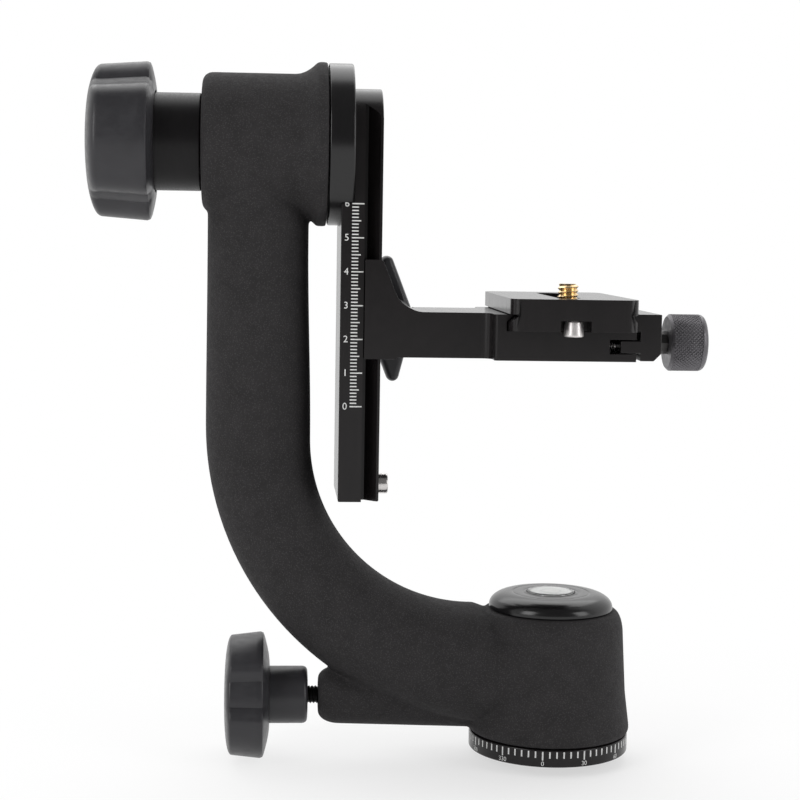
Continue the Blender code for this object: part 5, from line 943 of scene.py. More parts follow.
def lobed(depth, floor_half_angle, phase, plain_radius, full_radius):
    """Flat-bottomed valleys between a knob's lobes, fading out towards its middle."""
    pitch = TURN / KNOB_LOBES

    def reach(radius, angle, distance):
        fade = min(1.0, max(0.0, (radius - plain_radius) / (full_radius - plain_radius)))
        offset = (angle / pitch + phase + 0.5) % 1.0 - 0.5
        beside = max(0.0, abs(offset) * pitch - floor_half_angle)
        share = beside / (KNOB_VALLEY_HALF_ANGLE - floor_half_angle)
        return radius - depth * fade * fade * max(0.0, 1.0 - share) ** 2

    return reach


def lobed_profile(radius, face, dome, rim_length, back_dome, back_radius):
    """A star knob's outline: full face, tapering rim and a slightly domed back down to a radius."""
    left_radius = radius - KNOB_RIM_TAPER
    depth = dome + KNOB_EDGE * KNOB_EDGE_share
    flatness = 2.0 / KNOB_FACE_POWER
    profile = [(0, face)]
    for index in range(1, FACE_STEPS + 1):
        angle = pi / 2 * index / FACE_STEPS
        profile.append((left_radius * sin(angle) ** flatness, face + depth * (1.0 - cos(angle) ** flatness)))
    rim_start = face + depth
    rim_end = face + dome + rim_length
    taper_length = rim_end - KNOB_EDGE - rim_start
    for index in range(1, RIM_STEPS + 1):
        share = index / RIM_STEPS
        profile.append((left_radius + KNOB_RIM_TAPER * share, rim_start + taper_length * share))
    inner = radius - KNOB_EDGE
    break_back = KNOB_EDGE * KNOB_EDGE_BREAK_share
    profile += [(radius - break_back, rim_end - break_back), (inner, rim_end)]
    for index in range(1, CORNER_STEPS + 1):
        share = index / CORNER_STEPS
        profile.append((inner + (back_radius - inner) * share, rim_end + back_dome * sin(share * pi / 2)))
    return profile


def pan_lock():
    profile = lobed_profile(PAN_KNOB_RADIUS, PAN_KNOB_FACE_X, PAN_KNOB_DOME, PAN_KNOB_RIM_LENGTH,
                            PAN_KNOB_BACK_DOME, PAN_HUB_RADIUS)
    socket = PAN_STUD_RADIUS + GAP
    hub = softened([(PAN_HUB_RADIUS, profile[-1][1]), (PAN_HUB_RADIUS, PAN_HUB_END_X, PAN_HUB_ROUND),
                    (socket + PAN_HUB_SINK_WIDTH, PAN_HUB_END_X, EDGE_SMALL),
                    (socket, PAN_HUB_END_X - PAN_HUB_SINK_DEPTH)])
    profile += hub[1:] + [(socket, PAN_STUD_SOCKET_X), (0, PAN_STUD_SOCKET_X)]
    shape = lobed(PAN_KNOB_VALLEY, PAN_KNOB_FLOOR_HALF_ANGLE, PAN_KNOB_PHASE_share, PAN_HUB_RADIUS,
                  PAN_KNOB_RADIUS - KNOB_RIM_TAPER)
    knob = raw("pan_lock_star", turned(profile, "X", BOSS_AXIS, KNOB_STEPS, shape))
    dress(knob, "pan_lock", "knob", "knob", "pan_lock_knob")
    stud = threaded(PAN_STUD_RADIUS, PAN_STUD_THREAD, PAN_STUD_PITCH, "X", BOSS_AXIS, PAN_STUD_SOCKET_X + GAP,
                    PAN_STUD_END_X, SMALL_STEPS)
    dress(raw("pan_lock_thread", stud), "pan_lock", "dark_steel", "steel", "pan_lock_stud")


def tilt_lock():
    profile = lobed_profile(TILT_KNOB_RADIUS, TILT_KNOB_FACE_X, TILT_KNOB_DOME, TILT_KNOB_RIM_LENGTH,
                            TILT_KNOB_BACK_DOME, TILT_KNOB_HOLLOW_RADIUS)
    hollow_floor = SLEEVE_LEFT_X - GAP - TILT_WASHER_LENGTH - GAP
    socket = INSERT_RADIUS + GAP
    socket_floor = hollow_floor - INSERT_LENGTH - GAP
    profile += [(TILT_KNOB_HOLLOW_RADIUS, hollow_floor), (socket, hollow_floor), (socket, socket_floor),
                (0, socket_floor)]
    shape = lobed(TILT_KNOB_VALLEY, TILT_KNOB_FLOOR_HALF_ANGLE, TILT_KNOB_PHASE_share,
                  TILT_KNOB_HOLLOW_RADIUS, TILT_KNOB_RADIUS - KNOB_RIM_TAPER)
    knob = raw("tilt_lock_star", turned(profile, "X", TILT_AXIS, KNOB_STEPS, shape))
    dress(knob, "tilt_lock", "knob", "knob", "tilt_lock_knob")


def tilt_fittings():
    ring = soft_ring(SHAFT_RADIUS + GAP, SLEEVE_RADIUS, SLEEVE_LEFT_X, TILT_HOUSING_LEFT_X - GAP, EDGE_BREAK)
    sleeve = raw("tilt_sleeve_collar", turned(ring, "X", TILT_AXIS, FINE_STEPS))
    dress(sleeve, "arm", "sleeve", "anodised", "tilt_sleeve")
    recess = SHAFT_HEAD_RADIUS + GAP
    floor = DISC_RIGHT_X - SHAFT_HEAD_LENGTH - GAP
    profile = softened([(SHAFT_RADIUS + GAP, DISC_LEFT_X), (DISC_RADIUS, DISC_LEFT_X, EDGE_FULL),
                        (DISC_RADIUS, DISC_RIGHT_X, DISC_EDGE), (recess, DISC_RIGHT_X), (recess, floor),
                        (SHAFT_RADIUS + GAP, floor)], True)
    disc = raw("tilt_disc_plate", turned(profile, "X", TILT_AXIS, FINE_STEPS))
    for centre in bar_screw_places():
        drill(disc, BAR_SCREW_RADIUS + GAP, DISC_RIGHT_X - BAR_SCREW_REACH, DISC_RIGHT_X + OVERRUN, "X",
              centre)
    dress(disc, "tilt_head", "gloss", "gloss", "tilt_disc")


def bar_screw_places():
    rise = sqrt(BAR_SCREW_CIRCLE ** 2 - BAR_SCREW_OFFSET ** 2)
    return [(0, side * BAR_SCREW_OFFSET, TILT_Z + up * rise) for up in (1, -1) for side in (-1, 1)]


def rail_side(side):
    slope = RAIL_LAND_HALF_WIDTH - RAIL_NECK_HALF_WIDTH
    land_x = BAR_RIGHT_X - RAIL_LAND
    outside = side * (BAR_HALF_WIDTH + OVERRUN)
    plan = [(SLAB_RIGHT_X, outside), (SLAB_RIGHT_X, side * RAIL_NECK_HALF_WIDTH),
            (land_x - slope, side * RAIL_NECK_HALF_WIDTH), (land_x, side * RAIL_LAND_HALF_WIDTH),
            (BAR_RIGHT_X + OVERRUN, side * RAIL_LAND_HALF_WIDTH), (BAR_RIGHT_X + OVERRUN, outside)]
    slant = (RAIL_END_OUTER_Z - RAIL_END_INNER_Z) / (BAR_RIGHT_X - SLAB_RIGHT_X)
    return lofted([[(x, y, BAR_BOTTOM_Z - OVERRUN) for x, y in plan],
                   [(x, y, RAIL_END_INNER_Z + slant * (x - SLAB_RIGHT_X)) for x, y in plan]])


def slide_bar():
    outline = arc((0, TILT_Z), BAR_HALF_WIDTH, 0, pi, FINE_STEPS)
    outline += [(-BAR_HALF_WIDTH, BAR_BOTTOM_Z), (BAR_HALF_WIDTH, BAR_BOTTOM_Z)]
    bar = raw("slide_bar_rail", extruded(outline, "X", BAR_LEFT_X, BAR_RIGHT_X))
    bevel(bar, EDGE_SOFT)
    cut(bar, rail_side(-1), rail_side(1))
    drill(bar, DISC_RADIUS + GAP, BAR_LEFT_X - OVERRUN, DISC_RIGHT_X + GAP, "X", TILT_AXIS, FINE_STEPS)
    head = BAR_SCREW_HEAD_RADIUS + GAP
    shank = BAR_SCREW_RADIUS + GAP
    neck = BAR_RIGHT_X - BAR_SCREW_HEAD_LENGTH - GAP
    hole = [(0, BAR_LEFT_X - OVERRUN), (shank, BAR_LEFT_X - OVERRUN), (shank, neck),
            (head, BAR_RIGHT_X - GAP), (head, BAR_RIGHT_X + OVERRUN), (0, BAR_RIGHT_X + OVERRUN)]
    for centre in bar_screw_places():
        cut(bar, turned(hole, "X", centre, SMALL_STEPS))
    stop_axis = (0, 0, BAR_BOTTOM_Z + STOP_ABOVE_END)
    drill(bar, STOP_SHANK_RADIUS + GAP, BAR_RIGHT_X - STOP_SHANK_LENGTH - GAP, BAR_RIGHT_X + OVERRUN, "X",
          stop_axis)
    dress(bar, "tilt_head", "anodised", "anodised", "slide_bar", smooth=False)

    tip = DISC_RIGHT_X - BAR_SCREW_REACH + GAP
    profile = [(0, tip), (BAR_SCREW_RADIUS, tip), (BAR_SCREW_RADIUS, neck),
               (BAR_SCREW_HEAD_RADIUS, BAR_RIGHT_X - GAP), (BAR_SCREW_HEAD_RADIUS, BAR_RIGHT_X - GAP / 2),
               (0, BAR_RIGHT_X - GAP / 2)]
    for index, centre in enumerate(bar_screw_places(), start=1):
        screw = raw(f"bar_screw_{index}_head", turned(profile, "X", centre, SMALL_STEPS))
        drill(screw, HEX_SOCKET_RADIUS, BAR_RIGHT_X - HEX_SOCKET_DEPTH, BAR_RIGHT_X + OVERRUN, "X", centre,
              HEX_SIDES)
        dress(screw, "tilt_head", "dark_steel", "steel", f"bar_screw_{index}")

    seat = BAR_RIGHT_X + GAP
    end = seat + STOP_HEAD_LENGTH
    inner_end = BAR_RIGHT_X - STOP_SHANK_LENGTH
    profile = softened([(0, inner_end), (STOP_SHANK_RADIUS, inner_end), (STOP_SHANK_RADIUS, seat),
                        (STOP_HEAD_RADIUS, seat, EDGE_FINE), (STOP_HEAD_RADIUS, end, EDGE_FULL), (0, end)])
    stop = raw("bar_stop_head", turned(profile, "X", stop_axis, SMALL_STEPS))
    drill(stop, HEX_SOCKET_RADIUS, end - HEX_SOCKET_DEPTH, end + OVERRUN, "X", stop_axis, HEX_SIDES)
    dress(stop, "tilt_head", "steel", "steel", "bar_stop_screw")


def bar_scale():
    def on_bar(along, up):
        return Vector((along, -BAR_HALF_WIDTH - PRINT_LIFT, up))

    marks = []
    half = BAR_TICK_WIDTH / 2
    for index in range(BAR_UNITS * BAR_TICKS_PER_UNIT + 1):
        height = BAR_ZERO_Z + BAR_UNIT * index / BAR_TICKS_PER_UNIT
        length = BAR_TICK_SHORT
        if index % BAR_TICKS_PER_UNIT == 0:
            length = BAR_TICK_LONG
        elif index % (BAR_TICKS_PER_UNIT // 2) == 0:
            length = BAR_TICK_MID
        tick = bar_mark(BAR_TICK_START_X, BAR_TICK_START_X + length, height - half, height + half)
        marks.append(moved(tick, on_bar))
        if index % BAR_TICKS_PER_UNIT == 0:
            number = glyphs(str(index // BAR_TICKS_PER_UNIT), BAR_DIGIT_HEIGHT)
            bmesh.ops.translate(number, verts=number.verts, vec=(BAR_DIGIT_X, height, 0))
            marks.append(moved(number, on_bar))
    dress(raw("slide_bar_scale", together(marks)), "tilt_head", "print", "anodised")


def block_side(right_x):
    foot_x = BLOCK_LEFT_X + BLOCK_FOOT_LENGTH
    step = CRADLE_ARM_BOTTOM_Z - BLOCK_FOOT_Z
    top = [(BLOCK_LEFT_X, BLOCK_FOOT_Z), (BLOCK_LEFT_X, BLOCK_TOP_Z),
           (GUSSET_TOP_X, BLOCK_TOP_Z, BLOCK_TOP_ROUND), (*GUSSET_KNEE, GUSSET_KNEE_ROUND),
           (GUSSET_FOOT_X, CRADLE_ARM_TOP_Z, GUSSET_FOOT_ROUND), (right_x, CRADLE_ARM_TOP_Z)]
    bottom = [(right_x, CRADLE_ARM_BOTTOM_Z), (foot_x, CRADLE_ARM_BOTTOM_Z, EDGE_SOFT),
              (foot_x - step, BLOCK_FOOT_Z, EDGE_SOFT)]
    return top, bottom


def rail_channel(far_side):
    neck = RAIL_NECK_HALF_WIDTH + GAP
    land = RAIL_LAND_HALF_WIDTH + GAP
    slope = land - neck
    land_x = BAR_RIGHT_X - RAIL_LAND - GAP * (sqrt(2.0) - 1.0)
    return [(BLOCK_LEFT_X - OVERRUN, -neck), (land_x - slope, -neck), (land_x, -land), (BLOCK_SEAT_X, -land),
            (BLOCK_SEAT_X, far_side), (BLOCK_LEFT_X - OVERRUN, far_side)]


def cradle():
    top, bottom = block_side(CLAMP_LEFT_X)
    wall = -PLATE_HALF_WIDTH - GAP
    clamp = [(CLAMP_LEFT_X, JAW_LIP_Z), (wall + JAW_LIP_Z - WALL_TOP_Z, JAW_LIP_Z), (wall, WALL_TOP_Z),
             (wall, CLAMP_BED_Z), (CLAMP_RIGHT_X, CLAMP_BED_Z), (CLAMP_RIGHT_X, SLOT_TOP_Z),
             (SLOT_DEPTH_X, SLOT_TOP_Z), (SLOT_DEPTH_X, SLOT_BOTTOM_Z), (CLAMP_RIGHT_X, SLOT_BOTTOM_Z),
             (CLAMP_RIGHT_X, CRADLE_ARM_BOTTOM_Z)]
    outline = softened(top[:-1] + clamp + bottom[1:], True)
    casting = raw("cradle_casting", extruded(outline, "Y", -CLAMP_HALF_LENGTH, CLAMP_HALF_LENGTH))
    fillet = (CLAMP_LEFT_X - CLAMP_FILLET, -BLOCK_HALF_WIDTH - CLAMP_FILLET)
    corner = (CLAMP_LEFT_X + CLAMP_CORNER, -CLAMP_HALF_LENGTH + CLAMP_CORNER)
    near = [(BLOCK_LEFT_X - OVERRUN, -BLOCK_HALF_WIDTH)] + arc(fillet, CLAMP_FILLET, pi / 2, 0, FILLET_STEPS)
    near += arc(corner, CLAMP_CORNER, pi, pi * 1.5, RIM_STEPS)
    near.append((CLAMP_RIGHT_X + OVERRUN, -CLAMP_HALF_LENGTH))
    low = BLOCK_FOOT_Z - OVERRUN
    high = BLOCK_TOP_Z + OVERRUN
    keep_common(casting, extruded(near + [(x, -y) for x, y in reversed(near)], "Z", low, high))
    cut(casting, extruded(rail_channel(MOVING_JAW_SEAT_Y), "Z", low, high))
    seat = [(BLOCK_LEFT_X - OVERRUN, MOVING_JAW_SEAT_Y), (BLOCK_RIGHT_X, MOVING_JAW_SEAT_Y),
            (BLOCK_RIGHT_X, BLOCK_HALF_WIDTH + OVERRUN), (BLOCK_LEFT_X - OVERRUN, BLOCK_HALF_WIDTH + OVERRUN)]
    cut(casting, extruded(seat, "Z", low, high))
    bevel(casting, CASTING_EDGE)
    drill(casting, HEIGHT_STUD_RADIUS + GAP, HEIGHT_STUD_END_Y - GAP, MOVING_JAW_SEAT_Y + OVERRUN, "Y",
          HEIGHT_STUD_AXIS)
    drill(casting, CLAMP_SCREW_RADIUS + GAP, CLAMP_SCREW_END_X - GAP, CLAMP_RIGHT_X, "X",
          CLAMP_SCREW_AXIS)
    for side in (-PIN_Y, PIN_Y):
        centre = (0, side, CLAMP_SCREW_Z)
        drill(casting, PIN_RADIUS + GAP, PIN_HOLE_LEFT_X, SLOT_DEPTH_X + OVERRUN, "X", centre)
    dress(casting, "cradle", "cast", "arm", "cradle_bracket")


def wing_outline(shrink):
    """Both wings: straight flanks from the round root to the tips, drawn in by the edge rounding."""
    reach = WING_HALF_LENGTH - WING_TIP_RADIUS
    taper = asin((WING_ROOT_RADIUS - WING_TIP_RADIUS) / reach)
    root = WING_ROOT_RADIUS - shrink
    tip = WING_TIP_RADIUS - shrink
    return (arc((0, reach), tip, taper, pi - taper, WING_TIP_STEPS)
            + arc((0, 0), root, pi - taper, pi + taper, WING_ROOT_STEPS)
            + arc((0, -reach), tip, pi + taper, TURN - taper, WING_TIP_STEPS)
            + arc((0, 0), root, -taper, taper, WING_ROOT_STEPS))


def height_lock():
    top, bottom = block_side(BLOCK_RIGHT_X - GAP)
    near = MOVING_JAW_SEAT_Y + GAP
    jaw = raw("height_jaw_block", extruded(softened(top + bottom, True), "Y", near, BLOCK_HALF_WIDTH))
    low = BLOCK_FOOT_Z - OVERRUN
    high = BLOCK_TOP_Z + OVERRUN
    cut(jaw, extruded([(x, -y) for x, y in rail_channel(MOVING_JAW_SEAT_Y)], "Z", low, high))
    drill(jaw, HEIGHT_STUD_RADIUS + GAP, 0, BLOCK_HALF_WIDTH + OVERRUN, "Y", HEIGHT_STUD_AXIS)
    bevel(jaw, CASTING_EDGE)
    dress(jaw, "height_jaw", "cast", "arm", "height_clamp_jaw")

    hub_start = BLOCK_HALF_WIDTH + GAP + PRINT_LIFT
    wing_end = WING_HUB_END_Y + WING_THICKNESS
    sections = []
    for layer in range(2 * WING_LAYERS + 1):
        place = layer / WING_LAYERS - 1.0
        rounding = max(0.0, abs(place) - WING_FLAT_share) / (1.0 - WING_FLAT_share)
        shrink = WING_ROUND * (1.0 - sqrt(max(0.0, 1.0 - rounding ** 2)))
        y = (WING_HUB_END_Y + wing_end) / 2 + place * WING_THICKNESS / 2
        sections.append([(HEIGHT_STUD_X + across * cos(WING_LEAN) - along * sin(WING_LEAN), y,
                          HEIGHT_STUD_Z + across * sin(WING_LEAN) + along * cos(WING_LEAN))
                         for across, along in wing_outline(shrink)])
    wings = raw("height_wing_knob", lofted(sections))
    hub_end = wing_end + EDGE_BREAK
    hub = softened([(0, hub_start), (WING_HUB_WAIST_RADIUS, hub_start, EDGE_SOFT),
                    (WING_HUB_RADIUS, WING_HUB_END_Y, WING_HUB_ROUND),
                    (WING_HUB_RADIUS, wing_end, WING_HUB_ROUND),
                    (WING_HUB_WAIST_RADIUS, hub_end, WING_HUB_END_ROUND), (0, hub_end)])
    fuse(wings, turned(hub, "Y", HEIGHT_STUD_AXIS, MID_STEPS))
    drill(wings, HEIGHT_STUD_RADIUS + GAP, hub_start - OVERRUN, WING_HUB_END_Y + WING_SOCKET_DEPTH, "Y",
          HEIGHT_STUD_AXIS)
    dress(wings, "height_lock", "knob", "knob", "height_lock_knob")


def clamp():
    wall = PLATE_HALF_WIDTH + GAP
    outline = softened([
        (wall - JAW_LIP_Z + WALL_TOP_Z, JAW_LIP_Z), (wall, WALL_TOP_Z), (wall, CLAMP_BED_Z + GAP),
        (JAW_FACE_X, CLAMP_BED_Z + GAP), (JAW_FACE_X, SLOT_TOP_Z - GAP), (TONGUE_END_X, SLOT_TOP_Z - GAP),
        (TONGUE_END_X, SLOT_BOTTOM_Z + GAP), (JAW_FACE_X, SLOT_BOTTOM_Z + GAP), (JAW_FACE_X, JAW_BOTTOM_Z),
        (JAW_RIGHT_X - JAW_CHAMFER, JAW_BOTTOM_Z), (JAW_RIGHT_X, JAW_BOTTOM_Z + JAW_CHAMFER),
        (JAW_RIGHT_X, JAW_TOP_Z), (wall + GAP + GAP, JAW_TOP_Z), (wall + GAP, JAW_LIP_Z),
    ], True)
    jaw = raw("clamp_jaw_block", extruded(outline, "Y", -CLAMP_HALF_LENGTH, CLAMP_HALF_LENGTH))
    bevel(jaw, JAW_EDGE)
    drill(jaw, CLAMP_SCREW_RADIUS + GAP, TONGUE_END_X - OVERRUN, JAW_RIGHT_X + OVERRUN, "X",
          CLAMP_SCREW_AXIS)
    for side in (-PIN_Y, PIN_Y):
        drill(jaw, PIN_RADIUS + GAP, TONGUE_END_X - OVERRUN, PIN_HOLE_END_X, "X", (0, side, CLAMP_SCREW_Z))
    dress(jaw, "clamp_jaw_body", "cast", "arm", "clamp_jaw")

    socket = CLAMP_SPIGOT_RADIUS + GAP
    socket_floor = CLAMP_KNOB_LEFT_X + CLAMP_SPIGOT_LENGTH
    diamond = TURN * CLAMP_KNOB_RADIUS / KNURL_COUNT
    start = CLAMP_KNOB_LEFT_X + CLAMP_KNOB_BEVEL
    end = CLAMP_KNOB_RIGHT_X - CLAMP_KNOB_DOME
    rows = int((end - start) / diamond * KNURL_ROWS_PER_DIAMOND)

    def knurl(radius, angle, distance):
        if radius < CLAMP_KNOB_RADIUS - TOLERANCE or not start < distance < end:
            return radius
        around = angle * KNURL_COUNT / TURN
        along = (distance - start) / diamond
        first = abs((around + along) % 1.0 - 0.5) * 2.0
        second = abs((around - along) % 1.0 - 0.5) * 2.0
        return radius - KNURL_DEPTH * min(1.0, KNURL_STEEPNESS * max(0.0, max(first, second) - 0.5))

    profile = [(0, socket_floor), (socket, socket_floor), (socket, CLAMP_KNOB_LEFT_X),
               (CLAMP_KNOB_RADIUS - CLAMP_KNOB_BEVEL, CLAMP_KNOB_LEFT_X)]
    profile += [(CLAMP_KNOB_RADIUS, start + (end - start) * index / rows) for index in range(rows + 1)]
    profile += arc((CLAMP_KNOB_RADIUS - CLAMP_KNOB_DOME, end), CLAMP_KNOB_DOME, 0, pi / 2, ROUND_STEPS)[1:]
    profile.append((0, CLAMP_KNOB_RIGHT_X))
    steps = KNURL_COUNT * KNURL_STEPS_PER_DIAMOND
    knob = raw("clamp_knurled_knob", turned(profile, "X", CLAMP_SCREW_AXIS, steps, knurl))
    dress(knob, "clamp_lock", "knurled", "knurled", "clamp_knob")


def spring(side):
    start = SLOT_DEPTH_X + GAP + SPRING_WIRE_RADIUS
    end = TONGUE_END_X - GAP - SPRING_WIRE_RADIUS
    steps = int(SPRING_TURNS * COIL_STEPS)
    rings = []
    for index in range(steps + 1):
        share = index / steps
        angle = TURN * SPRING_TURNS * share
        outward = Vector((0, cos(angle), sin(angle)))
        middle = Vector((start + (end - start) * share, side, CLAMP_SCREW_Z)) + outward * SPRING_RADIUS
        rings.append([middle + Vector((up, across * outward.y, across * outward.z))
                      for across, up in arc((0, 0), SPRING_WIRE_RADIUS, 0, TURN, WIRE_STEPS)[:-1]])
    return lofted(rings)


def slot_shape(half_width, half_length, low, high):
    reach = half_length - half_width
    outline = arc((0, reach), half_width, 0, pi, SLOT_STEPS)
    outline += arc((0, -reach), half_width, pi, TURN, SLOT_STEPS)
    return extruded(outline, "Z", low, high)


def plate():
    side = [(PLATE_HALF_WIDTH, PLATE_BOTTOM_Z), (PLATE_HALF_WIDTH, PLATE_FLANGE_TOP_Z),
            (PLATE_WAIST, PLATE_LEDGE_Z), (PLATE_HALF_WIDTH, PLATE_LEDGE_Z), (PLATE_HALF_WIDTH, PLATE_TOP_Z)]
    outline = side + [(-x, z) for x, z in reversed(side)]
    body = raw("camera_plate_body", extruded(outline, "Y", -PLATE_HALF_LENGTH, PLATE_HALF_LENGTH))
    low = PLATE_BOTTOM_Z - OVERRUN
    high = PLATE_TOP_Z + OVERRUN
    corners = [(right * PLATE_HALF_WIDTH, back * PLATE_HALF_LENGTH, PLATE_CORNER_ROUND)
               for right, back in ((1, 1), (-1, 1), (-1, -1), (1, -1))]
    keep_common(body, extruded(softened(corners, True), "Z", low, high))
    cut(body, slot_shape(CAMERA_SLOT_HALF_WIDTH, CAMERA_SLOT_HALF_LENGTH, low, high))
    reach = CAMERA_SLOT_HALF_LENGTH + HEAD_CHANNEL_HALF_WIDTH - CAMERA_SLOT_HALF_WIDTH
    cut(body, slot_shape(HEAD_CHANNEL_HALF_WIDTH, reach, low, PLATE_BOTTOM_Z + HEAD_CHANNEL_HEIGHT))
    inner = PLATE_STOP_Y - PLATE_STOP_RADIUS - GAP
    outer = PLATE_HALF_LENGTH + OVERRUN
    for end in (-1, 1):
        notch = [(-NOTCH_HALF_WIDTH, end * inner), (NOTCH_HALF_WIDTH, end * inner),
                 (NOTCH_HALF_WIDTH, end * outer), (-NOTCH_HALF_WIDTH, end * outer)]
        cut(body, extruded(notch, "Z", low, PLATE_BOTTOM_Z + NOTCH_HEIGHT))
    bevel(body, EDGE_SOFT)
    head_low = PLATE_BOTTOM_Z - PLATE_STOP_BELOW
    neck = head_low + PLATE_STOP_HEAD_HEIGHT
    top = neck + PLATE_STOP_SHANK_LENGTH
    for name, end in (("front", -1), ("rear", 1)):
        axis = (0, end * PLATE_STOP_Y, 0)
        drill(body, PLATE_STOP_SHANK_RADIUS + GAP, low, top + GAP, "Z", axis)
        profile = softened([(0, head_low), (PLATE_STOP_RADIUS, head_low, EDGE_FULL),
                            (PLATE_STOP_NECK_RADIUS, neck, EDGE_SMALL), (PLATE_STOP_SHANK_RADIUS, neck),
                            (PLATE_STOP_SHANK_RADIUS, top), (0, top)])
        stop = raw(f"plate_stop_{name}_screw", turned(profile, "Z", axis, SMALL_STEPS))
        drill(stop, HEX_SOCKET_RADIUS, head_low - OVERRUN, head_low + HEX_SOCKET_DEPTH, "Z", axis,
              HEX_SIDES)
        dress(stop, "plate", "bright_steel", "steel", f"plate_stop_{name}")
    dress(body, "plate", "anodised", "anodised", "camera_plate")


def camera_screw():
    axis = (0, CAMERA_SCREW_Y, 0)
    low = PLATE_BOTTOM_Z + GAP
    top = low + CAMERA_SCREW_HEAD_HEIGHT
    thread = threaded(CAMERA_SCREW_RADIUS, CAMERA_SCREW_THREAD, CAMERA_SCREW_PITCH, "Z", axis,
                      top - CAMERA_SCREW_SUNK, CAMERA_SCREW_TOP_Z, SMALL_STEPS)
    screw = raw("camera_screw_thread", thread)
    head = soft_rod(CAMERA_SCREW_HEAD_RADIUS, low, top, EDGE_SOFT)
    fuse(screw, turned(head, "Z", axis, MID_STEPS))
    half = COIN_SLOT_WIDTH / 2
    reach = CAMERA_SCREW_HEAD_RADIUS + OVERRUN
    coin = [(-reach, CAMERA_SCREW_Y - half), (reach, CAMERA_SCREW_Y - half), (reach, CAMERA_SCREW_Y + half),
            (-reach, CAMERA_SCREW_Y + half)]
    cut(screw, extruded(coin, "Z", low - OVERRUN, low + COIN_SLOT_DEPTH))
    dress(screw, "screw", "brass", "brass", "camera_screw")


def build():
    for make in (swing_arm, pan_base, tripod_bush, level, pan_lock, tilt_lock, tilt_fittings, slide_bar,
                 bar_scale, cradle, height_lock, clamp, plate, camera_screw):
        make()
    for name, side in (("front", -PIN_Y), ("rear", PIN_Y)):
        dress(raw(f"clamp_coil_{name}", spring(side)), "cradle", "steel", "steel", f"clamp_spring_{name}")
    stay = {
        "steel": ("pan_spindle", "pan_bearing_lower", "pan_bearing_upper", "pan_nut", "tilt_shaft",
                  "tilt_bearing_inner", "tilt_bearing_outer", "height_lock_stud", "clamp_pin_front",
                  "clamp_pin_rear", "camera_screw_washer"),
        "dark_steel": ("clamp_screw",),
        "brass": ("pan_lock_shoe", "tilt_insert"),
        "washer": ("pan_friction_washer", "tilt_friction_washer"),
    }
    for finish, nodes in stay.items():
        for name in nodes:
            carried(name, finish)


# Camera, light and ground

CAMERA_YAW = radians(4.173)
CAMERA_PITCH = radians(5.261)
CAMERA_ROLL = radians(0.929)
CAMERA_DISTANCE = 558.85 * MM
CAMERA_TARGET = (-48.62 * MM, 0, 109.57 * MM)
CAMERA_LENS = 81.09
SENSOR_WIDTH = 36.0
CAMERA_CLIP = 10.0 * MM
FLOOR_Z = -3.5 * MM
FLOOR_SIZE = 6.0
FLOOR_COLOUR = (0.93, 0.93, 0.93, 1.0)
FLOOR_ROUGHNESS = 0.9
FLOOR_FADE_START = 0.03
FLOOR_FADE_END = 0.20
FLOOR_WHITE_share = 0.6
LIGHT_AIM = (-0.045, 0.0, 0.11)
LIGHT_BOXES = (
    ("overhead_box", (-0.05, 0.60, 1.00), 1.3, 1.1, 5.5),
    ("left_box", (-0.95, -0.75, 0.55), 0.5, 0.9, 5.5),
    ("right_box", (0.95, -0.70, 0.50), 0.5, 0.9, 4.5),
)
ROOM_FRONT = 0.18
ROOM_BACK = 0.95
ROOM_SIDE_share = 0.45
ROOM_LIT_DEPTHS = (-0.35, 0.45)
ROOM_SEEN_DEPTHS = (0.0, 0.4)


def photo_camera():
    """The camera that took the photograph, as fitted to the object in it."""
    level_reach = cos(CAMERA_PITCH)
    forward = Vector((sin(CAMERA_YAW) * level_reach, cos(CAMERA_YAW) * level_reach, -sin(CAMERA_PITCH)))
    right = Vector((cos(CAMERA_YAW), -sin(CAMERA_YAW), 0))
    up = right.cross(forward)
    leaning_right = right * cos(CAMERA_ROLL) + up * sin(CAMERA_ROLL)
    leaning_up = up * cos(CAMERA_ROLL) - right * sin(CAMERA_ROLL)
    camera = bpy.data.cameras.new("photo_camera")
    camera.lens = CAMERA_LENS
    camera.sensor_width = SENSOR_WIDTH
    camera.clip_start = CAMERA_CLIP
    item = bpy.data.objects.new("photo_camera", camera)
    bpy.context.collection.objects.link(item)
    turn = Matrix((leaning_right, leaning_up, -forward)).transposed()
    place = Vector(CAMERA_TARGET) - forward * CAMERA_DISTANCE
    item.matrix_world = Matrix.Translation(place) @ turn.to_4x4()
    bpy.context.scene.camera = item


def softbox(name, place, width, height, power):
    light = bpy.data.lights.new(name, "AREA")
    light.shape = "RECTANGLE"
    light.size = width
    light.size_y = height
    light.energy = power
    item = bpy.data.objects.new(name, light)
    bpy.context.collection.objects.link(item)
    item.location = place
    item.rotation_euler = (Vector(LIGHT_AIM) - Vector(place)).to_track_quat("-Z", "Y").to_euler()


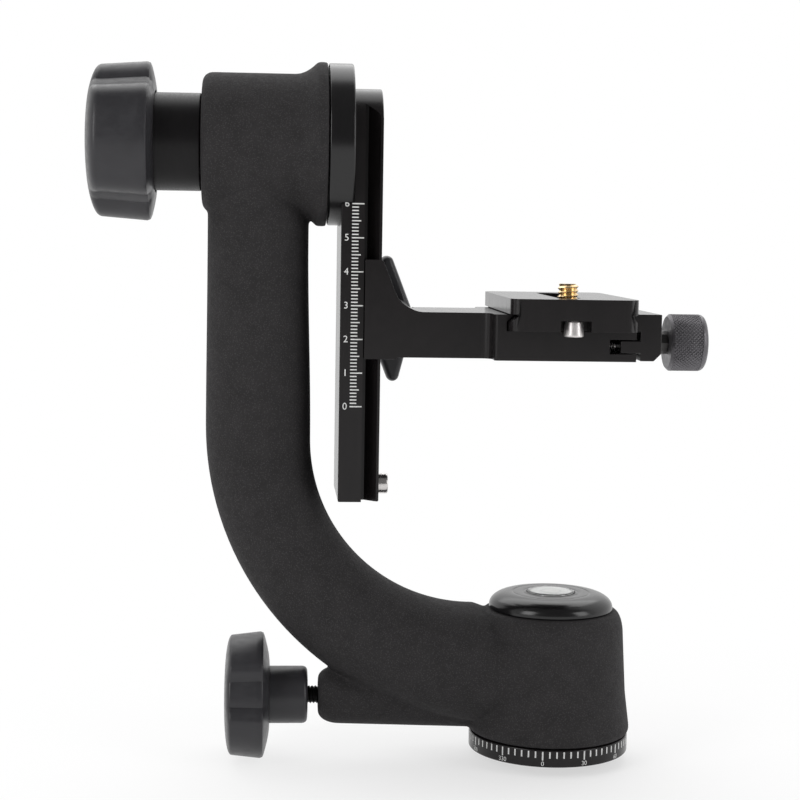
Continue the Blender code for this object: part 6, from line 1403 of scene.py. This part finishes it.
def white_room():
    """World that is a white backdrop behind the object and a dim studio in front of it."""
    world = bpy.data.worlds.new("room")
    bpy.context.scene.world = world
    world.use_nodes = True
    tree = world.node_tree
    place = node(tree, "TexCoord", "Generated", {})
    split = tree.nodes.new("ShaderNodeSeparateXYZ")
    tree.links.new(place, split.inputs["Vector"])
    beside = node(tree, "Math", "Value", {0: split.outputs["X"]}, "ABSOLUTE")
    side_and_back = {0: beside, 1: ROOM_SIDE_share, 2: split.outputs["Y"]}
    around = node(tree, "Math", "Value", side_and_back, "MULTIPLY_ADD")
    ray = tree.nodes.new("ShaderNodeLightPath").outputs
    bounced = {0: ray["Is Glossy Ray"], 1: ray["Is Transmission Ray"]}
    mirrored = node(tree, "Math", "Value", bounced, "MAXIMUM")
    lit = spread_out(tree, around, *ROOM_LIT_DEPTHS, ROOM_FRONT, ROOM_BACK)
    seen = spread_out(tree, around, *ROOM_SEEN_DEPTHS, ROOM_FRONT, 1.0)
    shown = node(tree, "Mix", "Result", {"Factor": mirrored, "A": lit, "B": seen})
    strength = node(tree, "Mix", "Result", {"Factor": ray["Is Camera Ray"], "A": shown, "B": 1.0})
    background = tree.nodes["Background"].inputs
    feed(tree, background["Strength"], strength)
    feed(tree, background["Color"], (1.0, 1.0, 1.0, 1.0))


def pale_floor():
    """Ground that takes the object's shadow close by and runs into white further off."""
    bpy.ops.mesh.primitive_plane_add(size=FLOOR_SIZE, location=(0, 0, FLOOR_Z))
    floor = bpy.context.active_object
    floor.name = "pale_floor"
    made = bpy.data.materials.new("pale_floor")
    made.use_nodes = True
    tree = made.node_tree
    shader = tree.nodes["Principled BSDF"]
    matt = {"Base Color": FLOOR_COLOUR, "Roughness": FLOOR_ROUGHNESS, "Specular IOR Level": 0.0}
    for socket, value in matt.items():
        feed(tree, shader.inputs[socket], value)
    white = node(tree, "Emission", "Emission", {})
    place = node(tree, "TexCoord", "Object", {})
    length = node(tree, "VectorMath", "Value", {0: place}, "LENGTH")
    fade = spread_out(tree, length, FLOOR_FADE_START, FLOOR_FADE_END, FLOOR_WHITE_share, 1.0)
    ray = tree.nodes.new("ShaderNodeLightPath").outputs
    seen = ray["Is Camera Ray"]
    for kind in ("Is Glossy Ray", "Is Transmission Ray"):
        seen = node(tree, "Math", "Value", {0: seen, 1: ray[kind]}, "MAXIMUM")
    share = node(tree, "Math", "Value", {0: fade, 1: seen}, "MULTIPLY")
    mixed = node(tree, "MixShader", "Shader", {0: share, 1: shader.outputs["BSDF"], 2: white})
    feed(tree, tree.nodes["Material Output"].inputs["Surface"], mixed)
    floor.data.materials.append(made)


def stage():
    photo_camera()
    for name, place, width, height, power in LIGHT_BOXES:
        softbox(name, place, width, height, power)
    white_room()
    pale_floor()
    bpy.context.scene.view_settings.view_transform = "Standard"


build()
stage()
